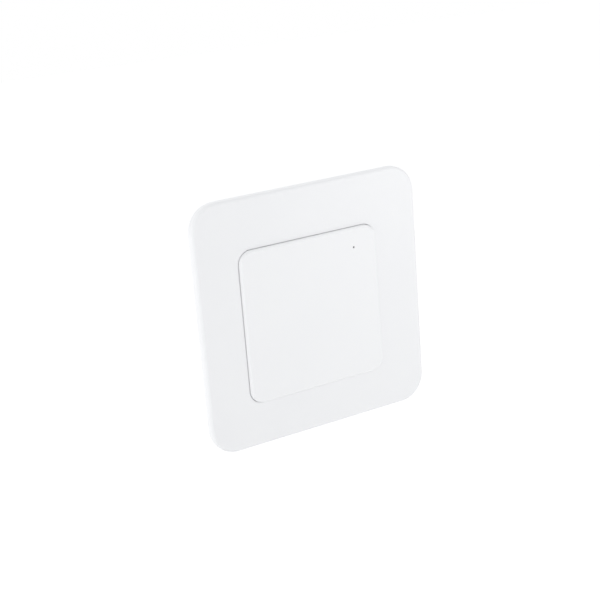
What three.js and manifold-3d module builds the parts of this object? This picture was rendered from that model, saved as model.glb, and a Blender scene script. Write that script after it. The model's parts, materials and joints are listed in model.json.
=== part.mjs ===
// A flush ceiling access point: a square trim plate with a raised radome in its middle, a flange
// behind it that rests on the ceiling, and a tub behind that which goes through a square cut-out in
// the ceiling board. Four swing-out clamps hold the flange and the tub together and to the board.
//
// Millimetres. Each piece is modelled in the device frame: X right, Y up, Z out of the face into
// the room, with the ceiling surface at Z = 0. The exported group turns that frame upright: the
// face looks along -Y and +Z is up.

import * as THREE from "three";
import { mergeVertices } from "three/addons/utils/BufferGeometryUtils.js";
import Module from "manifold-3d";

const wasm = await Module();
wasm.setup();

// ---- driving dimensions ----

const CONTACT_GAP = 0.3; // between pieces that touch
const CORNER_STEPS = 8; // straight steps in a quarter turn of a large corner
const ROUND_STEPS = 16; // straight steps round a small cylinder
const OVERCUT = 1; // how far a cutting tool runs past the face it starts from

const PLATE_SIDE = 220;
const PLATE_CORNER = 24;
const PLATE_OFFSET_X = 2.6; // from the cover's middle to the plate's: the cover sits low and to the left
const PLATE_OFFSET_Y = 3.1;
const PLATE_EDGE = 3; // rounding of the trim's outer edge
const TRIM_WALL = 2.2;
const TRIM_LIFT = 0.5; // the trim's skirt stops this far from the ceiling

const COVER_SIDE = 135.5;
const COVER_CORNER = 12;
const COVER_PROUD = 3; // how far the cover stands out of the trim
const COVER_EDGE = 2.4;
const COVER_WALL = 2;
const COVER_GAP = 0.4; // shadow gap between cover and trim, each side
const COLLAR_WALL = 1.6;
const COLLAR_LIFT = 0.5; // from the flange to the collar round the trim's opening

const LED_INSET_X = 23.5; // from the cover's right side
const LED_INSET_Y = 17.5; // from its top
const PINHOLE_RADIUS = 0.9;
const PIPE_TIP_RADIUS = 0.6;
const PIPE_TIP_SINK = 0.6; // the light pipe ends this far below the cover's face
const PIPE_RADIUS = 2;
const PIPE_BOSS_WALL = 1.2;
const PIPE_BOSS_HEIGHT = 6;
const LED_SIZE = 3;
const LED_HEIGHT = 1.2;

const SEAL_THICK = 1.5;
const SEAL_INSET = 2.5; // from the flange's edge to the seal's
const FLANGE_INSET = 12; // from the plate's edge to the flange's
const FLANGE_THICK = 2.2;
const FLANGE_LIP = 0.5; // how far the flange's opening is inside the cover's wall
const TUB_SIDE = 162;
const TUB_CORNER = 12;
const TUB_WALL = 2.4;
const TUB_DEPTH = 36; // from the ceiling surface to the outside of the tub's floor
const TUB_CLEARANCE = 1.5; // each side, between the tub and the seal round it

const POCKET_DEPTH = 11;
const POCKET_LOW = 22; // a clamp pocket runs from this height to POCKET_HIGH, above and below the middle
const POCKET_HIGH = 58;
const CLAMP_AXIS_INSET = 5.5; // from the tub's side to a clamp screw's axis
const CLAMP_AXIS_FROM_END = 6; // from a pocket's end to the screw's axis
const LEG_HUB_GAP = 0.4; // between the leg's hub and the pocket's wall
const LEG_LENGTH = 27;
const LEG_WIDTH = 8;
const LEG_HEIGHT = 10;
const LEG_PAD_LENGTH = 9;
const LEG_ARM_DROP = 3; // the arm between hub and pad is this much lower than the pad
const INSERT_RADIUS = 3.1;
const INSERT_LENGTH = 7;
const SHANK_RADIUS = 2;
const CLAMP_HEAD_RADIUS = 3.8;
const CLAMP_HEAD_HEIGHT = 2.6;
const CLAMP_DRIVE = 4; // across the cross recess in the head
const CLAMP_DRIVE_SLOT = 0.9;
const HEAD_SINK = 2.8; // depth of the counterbore for a clamp screw's head, which ends near the flange's face
const SINK_BOSS_DEPTH = 3.2;
const EAR_THICK = 3;
const CLIP_RADIUS = 3.6;
const CLIP_THICK = 0.8;
const CLIP_MOUTH = 2.8; // width of the clip's open side

const MAGNET_INSET = 10; // from the flange's edge to a magnet's middle
const MAGNET_RADIUS = 5;
const MAGNET_THICK = 1.2;
const STRIKE_SIDE = 14;
const STRIKE_THICK = 0.8;

const HOOK_WIDTH = 14;
const HOOK_THICK = 1.6;
const HOOK_BARB = 1.7;
const HOOK_BARB_LENGTH = 3;
const HOOK_BARB_LAND = 1; // straight part of the barb, before it slopes in
const HOOK_CORNER_INSET = 8.25; // from the end of a hook to where the opening's corner begins

const BOARD_SIDE = 126;
const BOARD_CORNER = 4;
const BOARD_THICK = 1.6;
const BOARD_FRONT = -14; // height of the board's front face
const BOARD_SCREW_OFFSET = 57;
const STANDOFF_RADIUS = 3.8;
const SCREW_PILOT = 1.25;
const SMALL_SHANK = 1.2;
const SMALL_HEAD_RADIUS = 2.6;
const SMALL_HEAD_HEIGHT = 1.8;
const SMALL_SCREW_LENGTH = 9;
const SMALL_DRIVE = 3;
const SMALL_DRIVE_SLOT = 0.7;

const SINK_WIDTH = 116;
const SINK_HEIGHT = 78;
const SINK_CENTRE_Y = -20;
const SINK_CORNER = 4;
const SINK_BASE = 3;
const SINK_FIN_HEIGHT = 8;
const SINK_FIN_THICK = 1.8;
const SINK_FIN_COUNT = 13;
const SINK_FIN_MARGIN_X = 12;
const SINK_FIN_MARGIN_Y = 5;
const SINK_SCREW_INSET = 5;
const SINK_WINDOW_INSET = 10; // from the heat sink's edge to the window in the tub's floor
const PEDESTAL_SIDE = 40;
const PAD_THICK = 1;
const CPU_SIDE = 24;
const CPU_HEIGHT = 2.2;

const JACK_WIDTH = 16;
const JACK_BREADTH = 13.6;
const JACK_PROUD = 1; // how far a jack stands out of the tub's floor
const JACK_CENTRE_X = 10.5;
const JACK_CENTRE_Y = 48;
const SOCKET_WIDTH = 11.8;
const SOCKET_BREADTH = 7;
const SOCKET_DEPTH = 13.5;
const LATCH_WIDTH = 6;
const LATCH_BREADTH = 2.2;
const SOCKET_SHIFT = -0.9; // from the jack's middle to the socket's, which leaves room for the latch
const LATCH_SHARE = 0.7; // depth of the latch's slot, as a share of the socket's

const BUTTON_X = 34;
const BUTTON_RADIUS = 1.5;
const BUTTON_HOLE_GAP = 0.3;
const BUTTON_SINK = 0.8; // the button's end is this far below the floor's outside
const BUTTON_TRAVEL_GAP = 0.9; // between the button's foot and its switch
const BUTTON_FOOT_RADIUS = 2.4;
const BUTTON_FOOT_THICK = 1;
const SWITCH_SIDE = 6;
const SWITCH_HEIGHT = 3.5;

const SHIELD_WIDTH = 34;
const SHIELD_BREADTH = 26;
const SHIELD_HEIGHT = 3;
const SHIELD_OFFSET_X = 42;
const SHIELD_Y = -12;
const MAGNETICS_WIDTH = 16;
const MAGNETICS_BREADTH = 12;
const MAGNETICS_HEIGHT = 6.5;
const MAGNETICS_X = -36;
const MAGNETICS_Y = 50;
const MAGNETICS_PITCH = 16;
const CAPACITOR_RADIUS = 4;
const CAPACITOR_HEIGHT = 11;
const CAPACITOR_X = 50;
const CAPACITOR_Y = 38;
const CAPACITOR_PITCH = 11;
const INDUCTOR_SIDE = 12;
const INDUCTOR_HEIGHT = 6;

const ANTENNA_X = 46;
const ANTENNA_Y = 26;
const ANTENNA_LENGTH = 28;
const ANTENNA_WIDTH = 8;
const ANTENNA_HEIGHT = 9;
const ANTENNA_SHEET = 0.6;
const ANTENNA_SLOT = 1.6;
const ANTENNA_SLOT_START = 8;
const ANTENNA_FOOT = 2;
const ANTENNA_FEET_PITCH = 6;

const VENT_COUNT = 9;
const VENT_LENGTH = 10;
const VENT_WIDTH = 2.4;
const VENT_PITCH = 7;
const VENT_Y = -70;

const EYELET_X = -60;
const EYELET_Y = 62;
const EYELET_WIDTH = 10;
const EYELET_THICK = 3;
const EYELET_HEIGHT = 7;
const EYELET_HOLE = 2;

// ---- sizes and heights that follow from them ----

const FLANGE_BACK = SEAL_THICK + CONTACT_GAP;
const FLANGE_FRONT = FLANGE_BACK + FLANGE_THICK;
const FLANGE_SIDE = PLATE_SIDE - 2 * FLANGE_INSET;
const FLANGE_OPENING = COVER_SIDE - 2 * (COVER_WALL + FLANGE_LIP);
const HOOK_SPACING =
  FLANGE_OPENING / 2 - (COVER_CORNER - COVER_WALL) - HOOK_CORNER_INSET - HOOK_WIDTH / 2;
const MAGNET_BACK = FLANGE_FRONT + CONTACT_GAP;
const MAGNET_OFFSET = FLANGE_SIDE / 2 - MAGNET_INSET;
const FLOOR_BACK = -TUB_DEPTH;
const FLOOR_FRONT = FLOOR_BACK + TUB_WALL;
const BOARD_BACK = BOARD_FRONT - BOARD_THICK;
const PARTS_FRONT = BOARD_BACK - CONTACT_GAP; // where parts on the board's back start
const TRIM_SKIN = MAGNET_BACK + MAGNET_THICK + CONTACT_GAP; // inside face of the trim's skin
const PLATE_FRONT = TRIM_SKIN + TRIM_WALL;
const COVER_FRONT = PLATE_FRONT + COVER_PROUD;
const COVER_INSIDE = COVER_FRONT - COVER_WALL;
const HEAD_SEAT = FLANGE_FRONT - HEAD_SINK;
const EAR_FRONT = FLOOR_BACK + EAR_THICK;
const LEG_BACK = EAR_FRONT + CONTACT_GAP;
const LEG_HUB_RADIUS = CLAMP_AXIS_INSET - LEG_HUB_GAP;
const CLAMP_X = TUB_SIDE / 2 - CLAMP_AXIS_INSET;
const LED_X = COVER_SIDE / 2 - LED_INSET_X;
const LED_Y = COVER_SIDE / 2 - LED_INSET_Y;
const SINK_BASE_FRONT = FLOOR_BACK - CONTACT_GAP;
const SINK_BASE_BACK = SINK_BASE_FRONT - SINK_BASE;
const CPU_BACK = PARTS_FRONT - CPU_HEIGHT;
const PAD_FRONT = CPU_BACK - CONTACT_GAP;
const PAD_BACK = PAD_FRONT - PAD_THICK;
const JACK_BACK = FLOOR_BACK - JACK_PROUD;

// ---- materials ----

function material(color, roughness, metalness = 0, extra = {}) {
  return new THREE.MeshStandardMaterial({ color, roughness, metalness, ...extra });
}

const WHITE = material(0xf1f1f2, 0.45);
const RADOME = material(0xf3f3f4, 0.4);
const TUB = material(0xd9dadb, 0.55);
const FOAM = material(0x3a3b3d, 0.95);
const CLEAR = material(0xe8f0f4, 0.1, 0, { transparent: true, opacity: 0.6 });
const ALUMINIUM = material(0xb9bcc0, 0.4, 1);
const STEEL = material(0xc6c8cb, 0.3, 1);
const NICKEL = material(0xd0d0d2, 0.2, 1);
const BRASS = material(0xc9a24e, 0.3, 1);
const BLACK = material(0x1c1d20, 0.55);
const BOARD_GREEN = material(0x1f5a3c, 0.5);
const CHIP = material(0x232427, 0.5);
const THERMAL = material(0x8fa3b5, 0.9);
const CERAMIC = material(0xf4efdc, 0.4);

// ---- geometry helpers ----

function asSolid(geometry) {
  const bare = new THREE.BufferGeometry();
  bare.setAttribute("position", geometry.getAttribute("position"));
  if (geometry.index) bare.setIndex(geometry.index);
  const merged = mergeVertices(bare, 1e-4);
  return new wasm.Manifold(
    new wasm.Mesh({
      numProp: 3,
      vertProperties: merged.attributes.position.array,
      triVerts: new Uint32Array(merged.index.array),
    }),
  );
}

function asGeometry(solid) {
  const mesh = solid.getMesh();
  const geometry = new THREE.BufferGeometry();
  geometry.setAttribute("position", new THREE.BufferAttribute(mesh.vertProperties, 3));
  geometry.setIndex(new THREE.BufferAttribute(mesh.triVerts, 1));
  geometry.computeVertexNormals();
  return geometry;
}

// A rectangle with round corners, centred on (x, y).
function roundedRect(width, height, radius, x = 0, y = 0) {
  const w = width / 2;
  const h = height / 2;
  const shape = new THREE.Shape();
  shape.moveTo(x + w, y - h + radius);
  shape.lineTo(x + w, y + h - radius);
  shape.absarc(x + w - radius, y + h - radius, radius, 0, Math.PI / 2);
  shape.absarc(x - w + radius, y + h - radius, radius, Math.PI / 2, Math.PI);
  shape.absarc(x - w + radius, y - h + radius, radius, Math.PI, 1.5 * Math.PI);
  shape.absarc(x + w - radius, y - h + radius, radius, 1.5 * Math.PI, 2 * Math.PI);
  return shape;
}

// A flat shape given thickness from height low to height high.
function slab(shape, low, high, steps = CORNER_STEPS) {
  const geometry = new THREE.ExtrudeGeometry(shape, {
    depth: high - low,
    bevelEnabled: false,
    curveSegments: steps,
  });
  geometry.translate(0, 0, low);
  return asSolid(geometry);
}

// A rounded square, centred on (x, y), whose front edge is rounded by edge.
function softPlate(side, corner, low, high, edge, x = 0, y = 0) {
  const geometry = new THREE.ExtrudeGeometry(
    roundedRect(side - 2 * edge, side - 2 * edge, corner - edge, x, y),
    {
      depth: high - low,
      bevelEnabled: true,
      bevelSize: edge,
      bevelThickness: edge,
      bevelSegments: 3,
      curveSegments: CORNER_STEPS,
    },
  );
  geometry.translate(0, 0, low - edge);
  const wanted = slab(roundedRect(side + 2, side + 2, corner, x, y), low, high + OVERCUT);
  return asSolid(geometry).intersect(wanted);
}

function block(x0, x1, y0, y1, z0, z1) {
  const geometry = new THREE.BoxGeometry(x1 - x0, y1 - y0, z1 - z0);
  geometry.translate((x0 + x1) / 2, (y0 + y1) / 2, (z0 + z1) / 2);
  return asSolid(geometry);
}

function blockAt(x, y, width, height, z0, z1) {
  return block(x - width / 2, x + width / 2, y - height / 2, y + height / 2, z0, z1);
}

// A cylinder along Z.
function rod(x, y, radius, z0, z1, steps = ROUND_STEPS) {
  const geometry = new THREE.CylinderGeometry(radius, radius, z1 - z0, steps);
  geometry.rotateX(Math.PI / 2);
  geometry.translate(x, y, (z0 + z1) / 2);
  return asSolid(geometry);
}

function together(solids) {
  return solids.reduce((sum, next) => sum.add(next));
}

const device = new THREE.Group();

function place(name, solid, finish) {
  const mesh = new THREE.Mesh(asGeometry(solid), finish);
  mesh.name = name;
  device.add(mesh);
  return mesh;
}

// ---- where repeated pieces sit ----

const corners = [
  [1, 1],
  [-1, 1],
  [-1, -1],
  [1, -1],
];

// Turning a clamp screw clockwise swings its leg outwards, so the legs on the right are stowed
// pointing up and those on the left pointing down. The left pair is the right pair turned half a
// turn about the middle.
const clampAxisHeights = [POCKET_LOW + CLAMP_AXIS_FROM_END, -POCKET_HIGH + CLAMP_AXIS_FROM_END];
const clampStations = clampAxisHeights.flatMap((y) => [
  { x: CLAMP_X, y, side: 1 },
  { x: -CLAMP_X, y: -y, side: -1 },
]);

const sinkScrewPlaces = corners.map(([sx, sy]) => [
  sx * (SINK_WIDTH / 2 - SINK_SCREW_INSET),
  SINK_CENTRE_Y + sy * (SINK_HEIGHT / 2 - SINK_SCREW_INSET),
]);

// ---- trim frame, pulled off the magnets by hand ----

function makeTrim() {
  const opening = COVER_SIDE + 2 * COVER_GAP;
  const openingCorner = COVER_CORNER + COVER_GAP;
  const collar = opening + 2 * COLLAR_WALL;
  const hollow = PLATE_SIDE - 2 * TRIM_WALL;
  const middle = [PLATE_OFFSET_X, PLATE_OFFSET_Y];
  const skin = softPlate(
    PLATE_SIDE,
    PLATE_CORNER,
    TRIM_LIFT,
    PLATE_FRONT,
    PLATE_EDGE,
    ...middle,
  ).subtract(
    slab(
      roundedRect(hollow, hollow, PLATE_CORNER - TRIM_WALL, ...middle),
      TRIM_LIFT - OVERCUT,
      TRIM_SKIN,
    ),
  );
  const collarRing = slab(
    roundedRect(collar, collar, openingCorner + COLLAR_WALL),
    FLANGE_FRONT + COLLAR_LIFT,
    PLATE_FRONT - COLLAR_WALL / 2,
  );
  return skin
    .add(collarRing)
    .subtract(slab(roundedRect(opening, opening, openingCorner), 0, PLATE_FRONT + OVERCUT));
}

place("trim_frame", makeTrim(), WHITE);

corners.forEach(([sx, sy], i) => {
  const x = sx * MAGNET_OFFSET;
  const y = sy * MAGNET_OFFSET;
  place(
    `trim_magnet_${i + 1}`,
    rod(x, y, MAGNET_RADIUS, MAGNET_BACK, MAGNET_BACK + MAGNET_THICK),
    NICKEL,
  );
  place(
    `strike_plate_${i + 1}`,
    blockAt(x, y, STRIKE_SIDE, STRIKE_SIDE, FLANGE_FRONT - STRIKE_THICK, FLANGE_FRONT),
    STEEL,
  );
});

// ---- front cover (radome), hooked behind the flange, with the indicator's light pipe ----

// A hook: an arm from the cover's face through the flange's opening, with a barb behind the flange.
// Its outline is drawn as (distance from the middle, height), extruded along the cover's side and
// turned to one of the four sides.
function coverHook(along, quarterTurns) {
  const outside = FLANGE_OPENING / 2 - CONTACT_GAP;
  const inside = outside - HOOK_THICK;
  const barbFront = FLANGE_BACK - CONTACT_GAP;
  const barbBack = barbFront - HOOK_BARB_LENGTH;
  const root = COVER_INSIDE + COVER_WALL / 2;
  const outline = new THREE.Shape();
  outline.moveTo(inside, barbBack);
  outline.lineTo(outside, barbBack);
  outline.lineTo(outside + HOOK_BARB, barbFront - HOOK_BARB_LAND);
  outline.lineTo(outside + HOOK_BARB, barbFront);
  outline.lineTo(outside, barbFront);
  outline.lineTo(outside, root);
  outline.lineTo(inside, root);
  const geometry = new THREE.ExtrudeGeometry(outline, { depth: HOOK_WIDTH, bevelEnabled: false });
  geometry.rotateX(Math.PI / 2);
  geometry.translate(0, along + HOOK_WIDTH / 2, 0);
  geometry.rotateZ((quarterTurns * Math.PI) / 2);
  return asSolid(geometry);
}

function makeCover() {
  const inside = COVER_SIDE - 2 * COVER_WALL;
  const shell = softPlate(
    COVER_SIDE,
    COVER_CORNER,
    FLANGE_FRONT + CONTACT_GAP,
    COVER_FRONT,
    COVER_EDGE,
  ).subtract(slab(roundedRect(inside, inside, COVER_CORNER - COVER_WALL), 0, COVER_INSIDE));
  const hooks = [0, 1, 2, 3].flatMap((quarterTurns) =>
    [-HOOK_SPACING, HOOK_SPACING].map((along) => coverHook(along, quarterTurns)),
  );
  const boss = rod(
    LED_X,
    LED_Y,
    PIPE_RADIUS + CONTACT_GAP + PIPE_BOSS_WALL,
    COVER_INSIDE - PIPE_BOSS_HEIGHT,
    COVER_INSIDE + COVER_WALL / 2,
  );
  const bossBore = rod(
    LED_X,
    LED_Y,
    PIPE_RADIUS + CONTACT_GAP,
    COVER_INSIDE - PIPE_BOSS_HEIGHT - OVERCUT,
    COVER_INSIDE,
  );
  const pinhole = rod(LED_X, LED_Y, PINHOLE_RADIUS, 0, COVER_FRONT + OVERCUT, 12);
  return together([shell, ...hooks, boss]).subtract(bossBore).subtract(pinhole);
}

place("front_cover", makeCover(), RADOME);

const ledFront = BOARD_FRONT + CONTACT_GAP + LED_HEIGHT;
place(
  "status_led",
  blockAt(LED_X, LED_Y, LED_SIZE, LED_SIZE, BOARD_FRONT + CONTACT_GAP, ledFront),
  CERAMIC,
);
place(
  "light_pipe",
  rod(LED_X, LED_Y, PIPE_RADIUS, ledFront + CONTACT_GAP, COVER_INSIDE - CONTACT_GAP, 16).add(
    rod(LED_X, LED_Y, PIPE_TIP_RADIUS, COVER_INSIDE - 2 * CONTACT_GAP, COVER_FRONT - PIPE_TIP_SINK, 12),
  ),
  CLEAR,
);

// ---- flange, and the rear housing: a tub with walls, floor and clamp pockets ----

// The tub's plan outline, shrunk by inset: a rounded square with two clamp pockets in each of its sides.
function tubOutline(inset) {
  const half = TUB_SIDE / 2 - inset;
  const corner = TUB_CORNER - inset;
  const deep = TUB_SIDE / 2 - POCKET_DEPTH - inset;
  const low = POCKET_LOW - inset;
  const high = POCKET_HIGH + inset;
  const shape = new THREE.Shape();
  const arc = (x, y, from) => shape.absarc(x, y, corner, from, from + Math.PI / 2);
  const notch = (side, from, to) => {
    shape.lineTo(side * half, from);
    shape.lineTo(side * deep, from);
    shape.lineTo(side * deep, to);
    shape.lineTo(side * half, to);
  };
  shape.moveTo(half, -half + corner);
  notch(1, -high, -low);
  notch(1, low, high);
  arc(half - corner, half - corner, 0);
  arc(-half + corner, half - corner, Math.PI / 2);
  notch(-1, high, low);
  notch(-1, -low, -high);
  arc(-half + corner, -half + corner, Math.PI);
  arc(half - corner, -half + corner, 1.5 * Math.PI);
  return shape;
}

function clampBores(radius) {
  return clampStations.map(({ x, y }) => rod(x, y, radius, FLOOR_BACK - OVERCUT, FLANGE_FRONT + OVERCUT));
}

function makeFlange() {
  const plate = slab(
    roundedRect(FLANGE_SIDE, FLANGE_SIDE, PLATE_CORNER - FLANGE_INSET),
    FLANGE_BACK,
    FLANGE_FRONT,
  );
  const opening = slab(
    roundedRect(FLANGE_OPENING, FLANGE_OPENING, COVER_CORNER - COVER_WALL),
    FLANGE_BACK - OVERCUT,
    FLANGE_FRONT + OVERCUT,
  );
  const sinkBosses = clampStations.map(({ x, y }) =>
    rod(x, y, CLAMP_AXIS_INSET, HEAD_SEAT - SINK_BOSS_DEPTH, FLANGE_BACK + FLANGE_THICK / 2),
  );
  const headSinks = clampStations.map(({ x, y }) =>
    rod(x, y, CLAMP_HEAD_RADIUS + CONTACT_GAP, HEAD_SEAT, FLANGE_FRONT + OVERCUT),
  );
  const strikePockets = corners.map(([sx, sy]) =>
    blockAt(
      sx * MAGNET_OFFSET,
      sy * MAGNET_OFFSET,
      STRIKE_SIDE + 2 * CONTACT_GAP,
      STRIKE_SIDE + 2 * CONTACT_GAP,
      FLANGE_FRONT - STRIKE_THICK - CONTACT_GAP,
      FLANGE_FRONT + OVERCUT,
    ),
  );
  return together([plate, ...sinkBosses])
    .subtract(opening)
    .subtract(together([...clampBores(SHANK_RADIUS + CONTACT_GAP), ...headSinks, ...strikePockets]));
}

place("mounting_flange", makeFlange(), TUB);

function makeHousing() {
  const walls = slab(tubOutline(0), FLOOR_BACK, FLANGE_BACK - CONTACT_GAP);
  const inside = slab(tubOutline(TUB_WALL), FLOOR_FRONT, FLANGE_BACK);
  const standoffs = corners.map(([sx, sy]) =>
    rod(
      sx * BOARD_SCREW_OFFSET,
      sy * BOARD_SCREW_OFFSET,
      STANDOFF_RADIUS,
      FLOOR_FRONT - TUB_WALL / 2,
      BOARD_BACK - CONTACT_GAP,
    ),
  );
  const ears = clampStations.map(({ x, y, side }) =>
    blockAt(
      x - side * (POCKET_DEPTH / 2 - CLAMP_AXIS_INSET + TUB_WALL / 4),
      y,
      POCKET_DEPTH + TUB_WALL / 2,
      2 * CLAMP_AXIS_FROM_END,
      FLOOR_BACK,
      EAR_FRONT,
    ),
  );
  const eyelet = blockAt(
    EYELET_X,
    EYELET_Y,
    EYELET_THICK,
    EYELET_WIDTH,
    FLOOR_BACK - EYELET_HEIGHT,
    FLOOR_BACK + TUB_WALL / 2,
  );

  const floorHole = (x, y, radius, steps) =>
    rod(x, y, radius, FLOOR_BACK - OVERCUT, FLOOR_FRONT + OVERCUT, steps);
  const floorWindow = (x, y, width, height) =>
    blockAt(x, y, width, height, FLOOR_BACK - OVERCUT, FLOOR_FRONT + OVERCUT);
  const pilots = corners.map(([sx, sy]) =>
    rod(
      sx * BOARD_SCREW_OFFSET,
      sy * BOARD_SCREW_OFFSET,
      SCREW_PILOT + CONTACT_GAP / 2,
      BOARD_BACK - SMALL_SCREW_LENGTH,
      BOARD_BACK + OVERCUT,
      12,
    ),
  );
  const sinkScrewHoles = sinkScrewPlaces.map(([x, y]) =>
    floorHole(x, y, SCREW_PILOT + CONTACT_GAP / 2, 12),
  );
  const sinkWindow = floorWindow(
    0,
    SINK_CENTRE_Y,
    SINK_WIDTH - 2 * SINK_WINDOW_INSET,
    SINK_HEIGHT - 2 * SINK_WINDOW_INSET,
  );
  const jackWindow = floorWindow(
    0,
    JACK_CENTRE_Y,
    2 * JACK_CENTRE_X + JACK_WIDTH + 2 * CONTACT_GAP,
    JACK_BREADTH + 2 * CONTACT_GAP,
  );
  const buttonHole = floorHole(BUTTON_X, JACK_CENTRE_Y, BUTTON_RADIUS + BUTTON_HOLE_GAP, 16);
  const vents = Array.from({ length: VENT_COUNT }, (_, i) =>
    floorWindow((i - (VENT_COUNT - 1) / 2) * VENT_PITCH, VENT_Y, VENT_WIDTH, VENT_LENGTH),
  );
  const eyeletHole = new THREE.CylinderGeometry(EYELET_HOLE, EYELET_HOLE, 2 * EYELET_THICK, 12);
  eyeletHole.rotateZ(Math.PI / 2);
  eyeletHole.translate(EYELET_X, EYELET_Y, FLOOR_BACK - EYELET_HEIGHT / 2);

  // the bosses under the flange reach into the tub's mouth above the clamp pockets
  const bossRoom = clampStations.map(({ x, y }) =>
    rod(x, y, CLAMP_AXIS_INSET + CONTACT_GAP, HEAD_SEAT - SINK_BOSS_DEPTH - CONTACT_GAP, FLANGE_FRONT),
  );
  return walls
    .subtract(inside)
    .add(together([...standoffs, ...ears, eyelet]))
    .subtract(together([...clampBores(SHANK_RADIUS + CONTACT_GAP), ...bossRoom, ...pilots]))
    .subtract(together([...sinkScrewHoles, ...vents, sinkWindow, jackWindow, buttonHole]))
    .subtract(asSolid(eyeletHole));
}

place("rear_housing", makeHousing(), TUB);

const sealInside = TUB_SIDE + 2 * TUB_CLEARANCE;
const sealOutside = FLANGE_SIDE - 2 * SEAL_INSET;
const sealCorner = TUB_CORNER + TUB_CLEARANCE;
place(
  "foam_seal",
  slab(roundedRect(sealOutside, sealOutside, sealCorner), 0, SEAL_THICK).subtract(
    slab(roundedRect(sealInside, sealInside, sealCorner), -OVERCUT, SEAL_THICK + OVERCUT),
  ),
  FOAM,
);

// ---- clamps: a screw, the insert that climbs it, the swinging leg round that, and the end clip ----

function makeLeg(x, y, side) {
  const front = LEG_BACK + LEG_HEIGHT;
  const reach = y + side * LEG_LENGTH;
  const padStart = reach - side * LEG_PAD_LENGTH;
  const hub = rod(x, y, LEG_HUB_RADIUS, LEG_BACK, front - LEG_ARM_DROP / 2, 24);
  const span = (a, b, low, high) =>
    block(x - LEG_WIDTH / 2, x + LEG_WIDTH / 2, Math.min(a, b), Math.max(a, b), low, high);
  const arm = span(y, reach, LEG_BACK, front - LEG_ARM_DROP);
  const pad = span(padStart, reach, LEG_BACK, front);
  const bore = rod(x, y, INSERT_RADIUS + CONTACT_GAP, LEG_BACK - OVERCUT, front + OVERCUT, 24);
  return together([hub, arm, pad]).subtract(bore);
}

clampStations.forEach(({ x, y, side }, i) => {
  const n = i + 1;
  const insertBack = LEG_BACK + CONTACT_GAP;
  place(`clamp_leg_${n}`, makeLeg(x, y, side), BLACK);
  place(
    `clamp_insert_${n}`,
    rod(x, y, INSERT_RADIUS, insertBack, insertBack + INSERT_LENGTH).subtract(
      rod(x, y, SHANK_RADIUS + CONTACT_GAP, insertBack - OVERCUT, insertBack + INSERT_LENGTH + OVERCUT),
    ),
    BRASS,
  );
  const headBack = HEAD_SEAT + CONTACT_GAP;
  const clipFront = FLOOR_BACK - CONTACT_GAP;
  const clipBack = clipFront - CLIP_THICK;
  const slotDepth = CLAMP_HEAD_HEIGHT / 2;
  const cross = together([
    blockAt(x, y, CLAMP_DRIVE, CLAMP_DRIVE_SLOT, headBack + slotDepth, headBack + 2 * CLAMP_HEAD_HEIGHT),
    blockAt(x, y, CLAMP_DRIVE_SLOT, CLAMP_DRIVE, headBack + slotDepth, headBack + 2 * CLAMP_HEAD_HEIGHT),
  ]);
  place(
    `clamp_screw_${n}`,
    rod(x, y, SHANK_RADIUS, clipBack - OVERCUT, headBack + OVERCUT / 2, 16)
      .add(rod(x, y, CLAMP_HEAD_RADIUS, headBack, headBack + CLAMP_HEAD_HEIGHT))
      .subtract(cross),
    STEEL,
  );
  place(
    `clamp_clip_${n}`,
    rod(x, y, CLIP_RADIUS, clipBack, clipFront)
      .subtract(rod(x, y, SHANK_RADIUS + CONTACT_GAP, clipBack - OVERCUT, clipFront + OVERCUT, 16))
      .subtract(
        blockAt(
          x + side * CLIP_RADIUS,
          y,
          2 * CLIP_RADIUS,
          CLIP_MOUTH,
          clipBack - OVERCUT,
          clipFront + OVERCUT,
        ),
      ),
    STEEL,
  );
});

// ---- main board and what is soldered to it ----

// A pan-head screw with its head at height seat, pointing along -Z or +Z.
function smallScrew(x, y, seat, towards) {
  const headEnd = seat - towards * SMALL_HEAD_HEIGHT;
  const tip = seat + towards * (SMALL_SCREW_LENGTH - SMALL_HEAD_HEIGHT);
  const span = (a, b) => [Math.min(a, b), Math.max(a, b)];
  const recess = span(headEnd - towards * OVERCUT, headEnd + towards * (SMALL_HEAD_HEIGHT / 2));
  const cross = together([
    blockAt(x, y, SMALL_DRIVE, SMALL_DRIVE_SLOT, ...recess),
    blockAt(x, y, SMALL_DRIVE_SLOT, SMALL_DRIVE, ...recess),
  ]);
  return rod(x, y, SMALL_SHANK, ...span(seat - towards / 2, tip), 10)
    .add(rod(x, y, SMALL_HEAD_RADIUS, ...span(seat, headEnd), 16))
    .subtract(cross);
}

const boardHoles = corners.map(([sx, sy]) =>
  rod(
    sx * BOARD_SCREW_OFFSET,
    sy * BOARD_SCREW_OFFSET,
    SMALL_SHANK + CONTACT_GAP,
    BOARD_BACK - OVERCUT,
    BOARD_FRONT + OVERCUT,
    12,
  ),
);
place(
  "main_board",
  slab(roundedRect(BOARD_SIDE, BOARD_SIDE, BOARD_CORNER), BOARD_BACK, BOARD_FRONT, 4).subtract(
    together(boardHoles),
  ),
  BOARD_GREEN,
);

corners.forEach(([sx, sy], i) => {
  place(
    `board_screw_${i + 1}`,
    smallScrew(sx * BOARD_SCREW_OFFSET, sy * BOARD_SCREW_OFFSET, BOARD_FRONT + CONTACT_GAP, -1),
    STEEL,
  );
});

function makeJack(x) {
  const y = JACK_CENTRE_Y;
  const socketY = y + SOCKET_SHIFT;
  const mouth = JACK_BACK - OVERCUT;
  const latchY = socketY + (SOCKET_BREADTH + LATCH_BREADTH) / 2 - CONTACT_GAP; // cuts into the socket
  return blockAt(x, y, JACK_WIDTH, JACK_BREADTH, JACK_BACK, PARTS_FRONT)
    .subtract(blockAt(x, socketY, SOCKET_WIDTH, SOCKET_BREADTH, mouth, JACK_BACK + SOCKET_DEPTH))
    .subtract(blockAt(x, latchY, LATCH_WIDTH, LATCH_BREADTH, mouth, JACK_BACK + SOCKET_DEPTH * LATCH_SHARE));
}

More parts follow.
